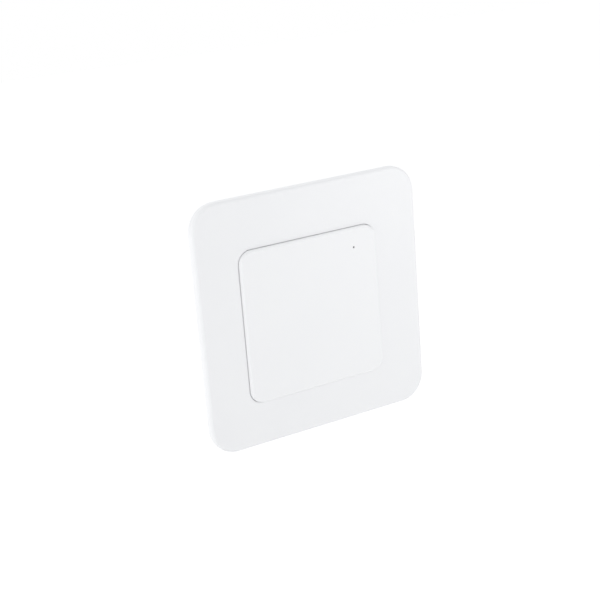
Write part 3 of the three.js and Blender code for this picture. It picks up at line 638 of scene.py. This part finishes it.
def blasted_aluminium():
    """Die-cast and bead-blasted: overlapping small dents, with casting flow that shifts the grey."""
    finish = Finish("blasted_aluminium", Metallic=1.0)
    dents = finish.cells(0.00045).ramp(0.0, 0.6)
    flow = finish.noise(0.02, 3, (1, 1, 0.4))
    fine = finish.noise(0.00018, 2)
    return finish.set(
        Base_Color=finish.blend(flow.ramp(0.3, 0.7), (0.66, 0.67, 0.69), (0.56, 0.57, 0.59)),
        Roughness=0.42 + flow * 0.12 + fine * 0.1,
        Normal=finish.bump(dents * 0.7 + fine * 0.3, 0.00003),
    )


STEEL_ZINC = plated("zinc_steel", (0.68, 0.7, 0.74), (0.55, 0.57, 0.61), 0.24, 0.0004, (1, 0.15, 1), 0.000006)
NICKEL = plated("nickel_sheet", (0.74, 0.72, 0.69), (0.64, 0.62, 0.59), 0.2, 0.0003, (0.06, 1, 1), 0.000004)
BRASS = plated("brass", (0.78, 0.56, 0.24), (0.62, 0.42, 0.16), 0.22, 0.0003, (1, 1, 0.1), 0.000005)
GOLD = plated("contact_gold", (0.95, 0.74, 0.36), (0.86, 0.62, 0.26), 0.16, 0.0002, (1, 0.1, 1), 0.000002)
ALUMINIUM = blasted_aluminium()
print("metals:", STEEL_ZINC.name, NICKEL.name, BRASS.name, GOLD.name, ALUMINIUM.name)

# %% [markdown]
# ## Board, lamp and light pipe
# Solder mask is green lacquer over copper, so traces show as slightly raised, lighter lines. They
# run level or upright, on a grid, and only inside scattered patches. Round pads are the nearest
# points of a scattered pattern. The lamp is a pale body with a yellow square over its chip, and the
# light pipe is clear plastic, faintly scratched by its mould.

# %% Board, lamp and pipe
TRACE_PITCH = 0.0016
CHIP_HALF = 0.9 * MM


def solder_mask():
    """Green lacquer over level and upright traces, with bare pads where scattered points are near."""
    finish = Finish("solder_mask", IOR=1.5, Coat_Roughness=0.12)
    x, z = finish.axis("x"), finish.axis("z")
    district = finish.noise(0.016, 1)
    level_lines = z.wave(TRACE_PITCH).ramp(0.62, 0.7) * (district > 0.52)
    upright_lines = x.wave(TRACE_PITCH).ramp(0.62, 0.7) * (district < 0.46)
    traces = level_lines + upright_lines
    pads = 1 - finish.cells(0.0042).ramp(0.1, 0.12)
    lacquer = finish.blend(traces, (0.015, 0.12, 0.055), (0.03, 0.21, 0.095))
    return finish.set(
        Base_Color=finish.blend(pads, lacquer, (0.72, 0.7, 0.66)),
        Metallic=pads,
        Roughness=0.34 + finish.noise(0.003) * 0.12,
        Coat_Weight=(1 - pads) * 0.6,
        Normal=finish.bump(traces * 0.8 + pads * 0.2, 0.00004),
    )


def lamp_body():
    """Surface-mount lamp: ceramic body, with a phosphor square in the middle of its face."""
    finish = Finish("lamp_ceramic", IOR=1.5)
    from_x, from_z = abs(finish.axis("x") - lamp_x), abs(finish.axis("z") - lamp_z)
    inside = finish.math_max(from_x, from_z) < CHIP_HALF
    return finish.set(
        Base_Color=finish.blend(inside, (0.86, 0.85, 0.8), (0.85, 0.7, 0.2)),
        Roughness=0.35 + finish.noise(0.0004) * 0.2,
        Normal=finish.bump(finish.noise(0.0002), 0.00001),
    )


def clear_pipe():
    """Clear moulded plastic: almost colourless, with drag lines along its length."""
    finish = Finish("clear_pipe", Transmission_Weight=0.9, IOR=1.49)
    drag = finish.noise(0.0006, 2, (1, 0.1, 1))
    return finish.set(
        Base_Color=finish.blend(drag, (0.6, 0.63, 0.66), (0.74, 0.77, 0.8)),
        Roughness=0.12 + drag * 0.1,
        Normal=finish.bump(drag, 0.000008),
    )


BOARD_GREEN = solder_mask()
LAMP_CERAMIC = lamp_body()
CLEAR_PIPE = clear_pipe()
print("board, lamp and pipe:", BOARD_GREEN.name, LAMP_CERAMIC.name, CLEAR_PIPE.name)

# %% [markdown]
# ## Jacks
# A network jack is a nickel-plated sheet-metal can round a black plastic insert. The frame holds it
# as one solid with the socket cut in, so the finish tells can from insert by place: what lies
# inside the socket's outline, behind the mouth's edge, is plastic.

# %% Jack finish
SOCKET_MARGIN = 0.15 * MM
JACK_NODES = ["uplink_jack", "second_jack"]
openings = {o["name"]: o["box_m"] for o in frame["record"]["physics"]["openings"]}
socket_low, socket_high = (Vector(c) for c in openings["second_socket"])
SOCKET_LIP = 0.4 * MM
JACK_HALF_MOUTH = 5.9 * MM
LATCH_TOP = 53.1 * MM


def jack_metal(mouth_height):
    """Nickel outside and black insert inside, told apart by place, and drawn lines on the metal."""
    finish = Finish("jack_can", IOR=1.5)
    x, y, z = (finish.axis(letter) for letter in "xyz")
    middle = (socket_low.x + socket_high.x) / 2
    across = abs(abs(x) - middle) < JACK_HALF_MOUTH + SOCKET_MARGIN
    above = z > socket_low.z - SOCKET_LIP
    below = z < LATCH_TOP
    deep = y < mouth_height - SOCKET_MARGIN
    insert = across * above * below * deep
    lines = finish.noise(0.0003, 3, (0.06, 1, 1))
    cloud = finish.noise(0.006, 4)
    metal = finish.blend(cloud, (0.74, 0.72, 0.69), (0.64, 0.62, 0.59))
    return finish.set(
        Base_Color=finish.blend(insert, metal, (0.02, 0.02, 0.022)),
        Metallic=1 - insert,
        Roughness=0.2 + cloud * 0.12 + insert * 0.25,
        Normal=finish.bump(lines, 0.000004),
    )


jack_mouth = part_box("second_jack")[1].y
JACK_CAN = jack_metal(jack_mouth)
print("jack mouth, mm:", round(jack_mouth / MM, 2))

# %% [markdown]
# ## Parts kept from the frame
# Where the frame's shape is already right, its node stays and only gets its finish. A part from a
# mould, a press or a lathe never has a perfectly sharp edge, though, and an edge without a highlight
# looks drawn. The nodes are loose triangles, so a Weld joins them before a Bevel rounds the edges.

# %% Finish and edges of the kept nodes
Kept = namedtuple("Kept", "nodes finish edge")
FOUR = (1, 2, 3, 4)
WELD = 0.01 * MM
SHARP_EDGE = 30


def four(name):
    return [f"{name}_{n}" for n in FOUR]


KEPT = [
    Kept(["rear_housing"], HOUSING_GREY, 0.4 * MM),
    Kept(["mounting_flange"], HOUSING_GREY, 0.25 * MM),
    Kept(["heat_sink"], ALUMINIUM, 0.35 * MM),
    Kept(JACK_NODES, JACK_CAN, 0.2 * MM),
    Kept(four("trim_magnet"), NICKEL, 0.15 * MM),
    Kept(["shield_can_left", "shield_can_right"], NICKEL, 0.3 * MM),
    Kept(four("strike_plate") + four("clamp_clip"), STEEL_ZINC, 0.1 * MM),
    Kept(four("clamp_insert"), BRASS, 0.15 * MM),
    Kept(four("antenna"), BRASS, 0.08 * MM),
    Kept(four("clamp_leg") + ["reset_button"], BLACK_NYLON, 0.3 * MM),
    Kept(["main_board"], BOARD_GREEN, 0.08 * MM),
    Kept(["processor", "reset_switch", "power_inductor"], CHIP_BLACK, 0.15 * MM),
    Kept(["line_transformer_1", "line_transformer_2"], CHIP_BLACK, 0.25 * MM),
    Kept(["status_led"], LAMP_CERAMIC, 0.1 * MM),
]


def round_edges(piece, width):
    """A narrow Bevel on every edge that turns by more than SHARP_EDGE degrees."""
    bevel = piece.modifiers.new("edge", "BEVEL")
    bevel.width = width
    bevel.segments = 2
    bevel.limit_method = "ANGLE"
    bevel.angle_limit = math.radians(SHARP_EDGE)
    bevel.harden_normals = True


def keep(node, finish, edge):
    """Gives a frame node its finish, joined corners and a narrow rounded edge."""
    part = frame["nodes"][node]
    part.data.materials.clear()
    part.data.materials.append(finish)
    weld = part.modifiers.new("weld", "WELD")
    weld.merge_threshold = WELD
    round_edges(part, edge)


for row in KEPT:
    for node in row.nodes:
        keep(node, row.finish, row.edge)
print("kept nodes:", sum(len(row.nodes) for row in KEPT))

# %% [markdown]
# ## Foam seal and thermal pad
# Both are soft sheet cut to shape. The seal is squeezed between flange and ceiling, and the pad
# between processor and heat sink, so their cut edges swell out round. A closed profile makes the
# ring. A stack of rings, each end closed by faces that meet in its middle, makes the pad.

# %% Foam seal


def capped(name, rings, finish, sharp=35):
    """A closed surface from rings in order. Triangles to its own middle close the first and the last."""
    rings = np.asarray(rings)
    rows, columns = rings.shape[:2]
    points = np.concatenate([rings.reshape(-1, 3), rings[0].mean(0)[None], rings[-1].mean(0)[None]])
    here = np.arange(columns)
    after = (here + 1) % columns
    top = (rows - 1) * columns
    ends = [np.stack([after, here, np.full(columns, rows * columns)], 1)]
    ends.append(np.stack([top + here, top + after, np.full(columns, rows * columns + 1)], 1))
    faces = grid_faces(rows, columns, False).tolist() + np.concatenate(ends).tolist()
    return as_piece(name, points, faces, finish, sharp)


SEAL_CORNER = 13.5 * MM
SEAL_CLEARANCE = 0.5 * MM
SEAL_SWELL = 0.4
seal_x, seal_z, seal_half, seal_back, seal_front = middle_and_half("foam_seal")
seal_opening = -openings["board_bottom"][1][2] - SEAL_CLEARANCE
seal_out = Outline(seal_half, SEAL_CORNER, seal_x, seal_z, SQUARE_ANGLES)
seal_in = Outline(seal_opening, SEAL_CORNER, seal_x, seal_z, SQUARE_ANGLES)
swell = (seal_front - seal_back) * SEAL_SWELL
seal_profile = [
    *bend(seal_out, -swell, seal_back + swell, swell, -90, 0, 5),
    *bend(seal_out, -swell, seal_front - swell, swell, 0, 90, 5),
    *bend(seal_in, swell, seal_front - swell, swell, 90, 180, 5),
    *bend(seal_in, swell, seal_back + swell, swell, 180, 270, 5),
]
foam_ring = loop_shell("foam_ring", seal_profile, FOAM_DARK)
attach(foam_ring, "housing")
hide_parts("foam_seal")
print("seal from", round(seal_opening / MM, 2), "to", round(seal_half / MM, 2), "mm out")

# %% Thermal pad
PAD_CORNER = 0.8 * MM
PAD_SWELL = 0.45
PAD_FLAT = -0.9 * PAD_CORNER
pad_x, pad_z, pad_half, pad_back, pad_front = middle_and_half("thermal_pad")
pad_square = Outline(pad_half, PAD_CORNER, pad_x, pad_z, SQUARE_ANGLES)
pad_swell = (pad_front - pad_back) * PAD_SWELL
pad_steps = [
    (pad_square, PAD_FLAT, pad_back),
    *bend(pad_square, -pad_swell, pad_back + pad_swell, pad_swell, -90, 0, 5),
    *bend(pad_square, -pad_swell, pad_front - pad_swell, pad_swell, 0, 90, 5),
    (pad_square, PAD_FLAT, pad_front),
]
soft_pad = capped("soft_pad", [ring(*step) for step in pad_steps], THERMAL_RUBBER)
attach(soft_pad, "housing")
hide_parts("thermal_pad")
print("pad:", round((pad_front - pad_back) / MM, 2), "mm thick")

# %% [markdown]
# ## Screws
# A screw is a stack of rings along its axis. On the thread each ring's radius also depends on the
# angle: it falls from crest to root and back once a pitch, and the crest moves along by one pitch
# for each full turn, which is what makes it a helix. The head is a shallow dome, and its rings
# change smoothly from the round edge to the outline of the cross recess, then drop down it.

# %% Screw sizes
SCREW_SIZES = "pitch shank thread_depth head_radius head_height cross_arm cross_width cross_depth"
Screw = namedtuple("Screw", SCREW_SIZES)
CLAMP_SCREW = Screw(2 * MM, 2 * MM, 0.45 * MM, 3.8 * MM, 2.6 * MM, 2 * MM, 0.45 * MM, 1.3 * MM)
SMALL_SCREW = Screw(0.8 * MM, 1.2 * MM, 0.24 * MM, 2.6 * MM, 1.8 * MM, 1.5 * MM, 0.35 * MM, 0.9 * MM)
ROWS_PER_PITCH = 8
HEAD_ROUND = 0.35 * MM
DOME_RISE = 0.12 * MM
TIP_CHAMFER = 0.1 * MM


def screw_angles(kind):
    """Angles round a screw that include every corner of its cross recess: five to each eighth of a turn."""
    corner = math.atan(kind.cross_width / kind.cross_arm)
    rest = math.pi / 4 - corner
    eighth = np.array([0, corner / 2, corner, corner + rest / 3, corner + rest * 2 / 3])
    quarter = np.concatenate([eighth, [math.pi / 4], (math.pi / 2 - eighth[:0:-1])])
    return np.concatenate([quarter + turn * math.pi / 2 for turn in range(4)])


def cross_reach(angles, kind):
    """Distance to a cross's outline at each angle: the further of two bars, each min(arm/|c|, width/|s|)."""
    c = np.maximum(np.abs(np.cos(angles)), 1e-6)
    s = np.maximum(np.abs(np.sin(angles)), 1e-6)
    level_bar = np.minimum(kind.cross_arm / c, kind.cross_width / s)
    upright_bar = np.minimum(kind.cross_width / c, kind.cross_arm / s)
    return np.maximum(level_bar, upright_bar)


print("points round a screw:", len(screw_angles(CLAMP_SCREW)))

# %% Screw rings
DOME_SHARES = (0.3, 0.6, 0.85, 1.0)
RECESS_STEPS = ((0.97, 0.06), (0.86, 0.9), (0.5, 1.0))
GROOVE_GAIN = 1.3
CREST_FLAT = 0.15


def screw_rings(kind, length, thread_from, thread_to):
    """Radii and distances from the tip, a row to each ring, for a screw of this kind and whole length.

    On the thread the phase is row / pitch - angle / turn. Its distance from the nearest half, doubled,
    is the groove: 0 on the crest and 1 in the root, held at both ends to leave narrow flats.
    """
    angles = screw_angles(kind)
    under = length - kind.head_height
    rows = np.arange(0.6 * kind.thread_depth, under, kind.pitch / ROWS_PER_PITCH)[:, None]
    phase = rows / kind.pitch - angles[None] / (2 * math.pi)
    groove = np.abs(2 * (phase - np.floor(phase)) - 1)
    run_in = np.clip((rows - thread_from) / kind.pitch, 0, 1) * np.clip((thread_to - rows) / kind.pitch, 0, 1)
    shank = kind.shank - kind.thread_depth * np.clip(groove * GROOVE_GAIN - CREST_FLAT, 0, 1) * run_in
    around = np.ones_like(angles)
    tip = kind.shank - kind.thread_depth
    flat_radius = kind.head_radius - HEAD_ROUND
    radii = [tip * 0.6 * around, tip * around, *shank, kind.shank * around, flat_radius * around]
    along = [0, TIP_CHAMFER, *rows[:, 0], under, under]
    for turned in np.radians(np.linspace(-90, 0, 4))[1:]:
        radii.append((flat_radius + HEAD_ROUND * math.cos(turned)) * around)
        along.append(under + HEAD_ROUND + HEAD_ROUND * math.sin(turned))
    shoulder = length - DOME_RISE - HEAD_ROUND
    for turned in np.radians(np.linspace(0, 70, 5)):
        radii.append((flat_radius + HEAD_ROUND * math.cos(turned)) * around)
        along.append(shoulder + HEAD_ROUND * math.sin(turned))
    rim, cross = radii[-1], cross_reach(angles, kind)
    for share in DOME_SHARES:
        radii.append(rim + (cross - rim) * share)
        along.append(along[-1] + (length - along[-1]) * share)
    for shrink, depth in RECESS_STEPS:
        radii.append(cross * shrink)
        along.append(length - kind.cross_depth * depth)
    return angles, np.array(radii), np.array(along)


print("steps down the recess:", len(RECESS_STEPS))

# %% Screws in place
THREAD_BEFORE = 0.5 * MM
THREAD_AFTER = 2 * MM
WHOLE_SHANK = 1.0


def make_screw(name, node, kind, body, head_out, thread_from=0.0, thread_to=WHOLE_SHANK):
    """A screw in place of a frame node. head_out says that its head faces the room, and its tip the void."""
    x, z, _, low, high = middle_and_half(node)
    angles, radii, along = screw_rings(kind, high - low, thread_from, thread_to)
    sign = 1 if head_out else -1
    heights = (low if head_out else high) + sign * along
    turned = sign * angles
    depths = np.broadcast_to(-heights[:, None], radii.shape)
    rings = np.stack([x + radii * np.cos(turned), depths, z + radii * np.sin(turned)], axis=2)
    piece = capped(name, rings, STEEL_ZINC, sharp=50)
    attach(piece, body)
    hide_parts(node)
    return len(rings)


travel = next(j["range_m"][1] for j in frame["joints"] if j["name"] == "clamp_travel_1")
for n in FOUR:
    _, _, _, insert_low, insert_high = middle_and_half(f"clamp_insert_{n}")
    _, _, _, screw_low, _ = middle_and_half(f"clamp_screw_{n}")
    start = insert_low - screw_low - THREAD_BEFORE
    stop = insert_high - screw_low + travel + THREAD_AFTER
    rows = make_screw(f"threaded_screw_{n}", f"clamp_screw_{n}", CLAMP_SCREW, f"screw_{n}", True, start, stop)
    make_screw(f"board_fastener_{n}", f"board_screw_{n}", SMALL_SCREW, "housing", True)
    make_screw(f"sink_fastener_{n}", f"heat_sink_screw_{n}", SMALL_SCREW, "housing", False)
print("a clamp screw has", rows, "rings of", len(screw_angles(CLAMP_SCREW)), "points")

# %% [markdown]
# ## Turned shapes
# Light pipe and capacitors are plain lathe shapes: a profile of radius and height, carried round.

# %% Turned shapes
ROUND_ANGLES = np.linspace(0, 2 * math.pi, 48, endpoint=False)


def turned_piece(name, x, z, profile, finish, sharp=35):
    """A closed lathe shape from pairs of radius and height, about the axis at x and z."""
    radii, heights = (np.array(column)[:, None] for column in zip(*profile))
    c, s = np.cos(ROUND_ANGLES)[None], np.sin(ROUND_ANGLES)[None]
    rings = np.stack([x + radii * c, -heights + 0 * c, z + radii * s], axis=2)
    return capped(name, rings, finish, sharp)


def round_off(radius, height, bend_radius, start, stop, steps=6):
    """Pairs of radius and height round an arc about (radius, height)."""
    return [step[1:] for step in bend(None, radius, height, bend_radius, start, stop, steps)]


print("points round a turned shape:", len(ROUND_ANGLES))

# %% [markdown]
# ## Light pipe
# A clear moulded pin carries the lamp's light to the face. It has a thin tip with a domed end,
# which sits in the cover's pinhole, so its profile steps in under the cover.

# %% Light pipe
TIP_RADIUS = 0.6 * MM
PIPE_GAP = 0.3 * MM
pipe_x, pipe_z, pipe_radius, pipe_foot, pipe_tip = middle_and_half("light_pipe")
shoulder = cover_inside - PIPE_GAP
pipe_profile = [
    (0.4 * pipe_radius, pipe_foot),
    *round_off(pipe_radius - SOFT, pipe_foot + SOFT, SOFT, -90, 0, 4),
    (pipe_radius, shoulder - 2 * SOFT),
    *round_off(pipe_radius - SOFT, shoulder - SOFT, SOFT, 0, 90, 4),
    *round_off(TIP_RADIUS + SMALL_SOFT, shoulder + SMALL_SOFT, SMALL_SOFT, 270, 180, 4),
    *round_off(0, pipe_tip - TIP_RADIUS * 0.8, TIP_RADIUS, 0, 70, 7),
]
pipe_profile = [(r, min(h, pipe_tip)) for r, h in pipe_profile]
domed_pipe = turned_piece("domed_pipe", pipe_x, pipe_z, pipe_profile, CLEAR_PIPE)
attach(domed_pipe, "housing")
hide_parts("light_pipe")
print("pipe tip, mm:", round(pipe_tip / MM, 2))

# %% [markdown]
# ## Capacitors
# A capacitor is an aluminium can, drawn from sheet, with a rolled edge and a neck pressed in near
# its foot. Its foot is on the board, so this profile runs the other way, from high to low.

# %% Capacitors
NECK_AT = 1.4 * MM
NECK_DEPTH = 0.35 * MM
NECK_HALF = 0.5 * MM
NECK_BEND = 0.2 * MM
CAN_ROLL = 0.6 * MM
TOP_DISH = 0.15 * MM
for n in (1, 2):
    can_x, can_z, can_radius, can_top, can_foot = middle_and_half(f"capacitor_{n}")
    neck = can_foot - NECK_AT
    can_profile = [
        (0.3 * can_radius, can_foot),
        *round_off(can_radius - SMALL_SOFT, can_foot - SMALL_SOFT, SMALL_SOFT, 90, 0, 3),
        (can_radius, neck + NECK_HALF),
        (can_radius - NECK_DEPTH * 0.7, neck + NECK_BEND),
        (can_radius - NECK_DEPTH, neck),
        (can_radius - NECK_DEPTH * 0.7, neck - NECK_BEND),
        (can_radius, neck - NECK_HALF),
        *round_off(can_radius - CAN_ROLL, can_top + CAN_ROLL, CAN_ROLL, 0, -90, 6),
        (can_radius - 1.5 * CAN_ROLL, can_top + TOP_DISH),
        (can_radius * 0.3, can_top + TOP_DISH),
    ]
    can = turned_piece(f"capacitor_can_{n}", can_x, can_z, can_profile, ALUMINIUM)
    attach(can, "housing")
    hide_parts(f"capacitor_{n}")
print("capacitor radius, mm:", round(can_radius / MM, 2))

# %% [markdown]
# ## Flat outlines given thickness
# Hooks, teeth and spring contacts all repeat. One function takes an outline and a list of places,
# each an origin and three directions, and makes every copy at once.

# %% Outlines given thickness


def extruded(name, outline, places, finish, body, edge):
    """Copies of a flat outline given thickness, closed at both ends.

    A place is (origin, u, v, w). A point (a, b) of the outline goes to origin + a u + b v, and once
    more with w added, which is the thickness and its direction.
    """
    outline = np.asarray(outline)
    count, size = len(places), len(outline)
    origin, u, v, w = (np.array([place[i] for place in places])[:, None, None] for i in range(4))
    ends = np.array([0.0, 1.0])[None, :, None, None]
    points = origin + u * outline[None, None, :, :1] + v * outline[None, None, :, 1:] + w * ends
    here = np.arange(size)
    after = (here + 1) % size
    sides = np.stack([here, after, after + size, here + size], 1).tolist()
    one = sides + [here[::-1].tolist(), (here + size).tolist()]
    faces = [[i + copy * 2 * size for i in face] for copy in range(count) for face in one]
    piece = as_piece(name, points.reshape(-1, 3), faces, finish)
    round_edges(piece, edge)
    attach(piece, body)
    return piece


up = np.array([0.0, -1.0, 0.0])
_, y_axis, z_axis = np.eye(3)
print("heights grow along", up)

# %% [markdown]
# ## Hooks behind the cover
# Eight moulded hooks hold the cover on. Each is a strip with a barb at its end. The four sides are
# the same outline, turned a quarter each time.

# %% Hooks behind the cover
HOOK_WIDTH, HOOK_THICK = 14 * MM, 1.6 * MM
HOOK_OUT = 64.95 * MM
BARB = 1.7 * MM
BARB_FRONT = 1.5 * MM
BARB_LAND = 1 * MM
HOOK_ROOT = 0.5 * MM
HOOK_EDGE = 0.2 * MM
HOOK_SPACING = 40 * MM
hook_outline = [
    (HOOK_OUT - HOOK_THICK, hook_end),
    (HOOK_OUT, hook_end),
    (HOOK_OUT + BARB, BARB_FRONT - BARB_LAND),
    (HOOK_OUT + BARB, BARB_FRONT),
    (HOOK_OUT, BARB_FRONT),
    (HOOK_OUT, cover_inside + HOOK_ROOT),
    (HOOK_OUT - HOOK_THICK, cover_inside + HOOK_ROOT),
]
hook_places = []
for quarter in range(4):
    out = np.array([math.cos(quarter * math.pi / 2), 0.0, math.sin(quarter * math.pi / 2)])
    side = np.array([-out[2], 0.0, out[0]])
    for offset in (-HOOK_SPACING, HOOK_SPACING):
        hook_places.append((side * (offset - HOOK_WIDTH / 2), out, up, side * HOOK_WIDTH))
extruded("cover_hooks", hook_outline, hook_places, COVER_WHITE, "housing", HOOK_EDGE)
print("hooks:", len(hook_places))

# %% [markdown]
# ## Teeth on the clamp pads
# Rounded ribs let a clamp bite into the ceiling board. They rise from the pad and are sunk a little
# into it, as if moulded with it.

# %% Teeth on the clamp pads
TEETH = 5
TOOTH_PITCH = 1.6 * MM
TOOTH_HEIGHT = 0.7 * MM
TOOTH_BASE = 1.1 * MM
TOOTH_SINK = 0.2 * MM
TOOTH_START = 1.3 * MM
TOOTH_EDGE = 0.08 * MM
turns = np.linspace(0, math.pi, 7)
tooth_outline = [(TOOTH_BASE / 2 * math.cos(a), TOOTH_HEIGHT * math.sin(a) ** 1.5) for a in turns]
tooth_outline += [(-TOOTH_BASE / 2, -TOOTH_SINK), (TOOTH_BASE / 2, -TOOTH_SINK)]
LEG_HALF = 4 * MM
TOOTH_INSET = 0.5 * MM
for n in FOUR:
    leg_low, leg_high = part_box(f"clamp_leg_{n}")
    insert_low, insert_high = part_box(f"clamp_insert_{n}")
    axis_x, axis_z = (insert_low.x + insert_high.x) / 2, (insert_low.z + insert_high.z) / 2
    points_up = leg_high.z - axis_z > axis_z - leg_low.z
    end_z, inwards = (leg_high.z, -1) if points_up else (leg_low.z, 1)
    tooth_places = []
    for i in range(TEETH):
        tooth_z = end_z + inwards * (TOOTH_START + i * TOOTH_PITCH)
        origin = np.array([axis_x - LEG_HALF + TOOTH_INSET, leg_low.y, tooth_z])
        width = np.array([2 * (LEG_HALF - TOOTH_INSET), 0, 0])
        tooth_places.append((origin, z_axis, up, width))
    row = f"clamp_teeth_{n}"
    extruded(row, tooth_outline, tooth_places, BLACK_NYLON, f"leg_{n}", TOOTH_EDGE)
print("teeth on a pad:", TEETH)

# %% [markdown]
# ## Contacts in the jacks
# Eight gilded springs slope back into each socket. Each is a curved strip, drawn once from the side.

# %% Contacts in the jacks
CONTACTS = 8
CONTACT_PITCH = 1.02 * MM
CONTACT_WIDTH = 0.45 * MM
CONTACT_THICK = 0.13 * MM
CONTACT_SINK = 1.6 * MM
CONTACT_REACH = 9.5 * MM
CONTACT_RISE = 2.3 * MM
CONTACT_LIFT = 0.15 * MM
CONTACT_EDGE = 0.04 * MM
steps = np.linspace(0, 1, 7)
wire_y = jack_mouth - CONTACT_SINK - CONTACT_REACH * steps
wire_z = socket_low.z + CONTACT_LIFT + CONTACT_RISE * steps**1.6
over, under = (np.stack([wire_y, wire_z + t], 1) for t in (CONTACT_THICK, -CONTACT_THICK))
contact_outline = np.concatenate([over, under[::-1]])
for node in JACK_NODES:
    middle, _, _, _, _ = middle_and_half(node)
    start = middle - (CONTACTS - 1) / 2 * CONTACT_PITCH - CONTACT_WIDTH / 2
    width = np.array([CONTACT_WIDTH, 0, 0])
    origins = [np.array([start + i * CONTACT_PITCH, 0, 0]) for i in range(CONTACTS)]
    wires = [(origin, y_axis, z_axis, width) for origin in origins]
    springs = node.replace("jack", "contacts")
    extruded(springs, contact_outline, wires, GOLD, "housing", CONTACT_EDGE)
print("contacts in a jack:", CONTACTS)

# %% [markdown]
# ## Cups round the magnets
# A moulded cup holds each magnet behind the trim. It is a ring with a closed profile of its own,
# sunk a little into the trim.

# %% Cups round the magnets
CUP_GAP, CUP_WALL, CUP_SINK = 0.3 * MM, 1.1 * MM, 0.2 * MM
for n in FOUR:
    magnet_x, magnet_z, magnet_radius, magnet_back, _ = middle_and_half(f"trim_magnet_{n}")
    inner = magnet_radius + CUP_GAP
    wall = Outline(inner, inner, magnet_x, magnet_z, ROUND_ANGLES)
    foot = magnet_back + SOFT
    cup_profile = [
        *bend(wall, SMALL_SOFT, foot + SMALL_SOFT, SMALL_SOFT, 180, 270, 3),
        *bend(wall, CUP_WALL - SMALL_SOFT, foot + SMALL_SOFT, SMALL_SOFT, -90, 0, 3),
        (wall, CUP_WALL, skin_back + CUP_SINK),
        (wall, 0, skin_back + CUP_SINK),
    ]
    cup = loop_shell(f"magnet_cup_{n}", cup_profile, TRIM_WHITE)
    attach(cup, "trim")
print("cup outside, mm:", round((inner + CUP_WALL) / MM, 2))

# %% [markdown]
# ## The end
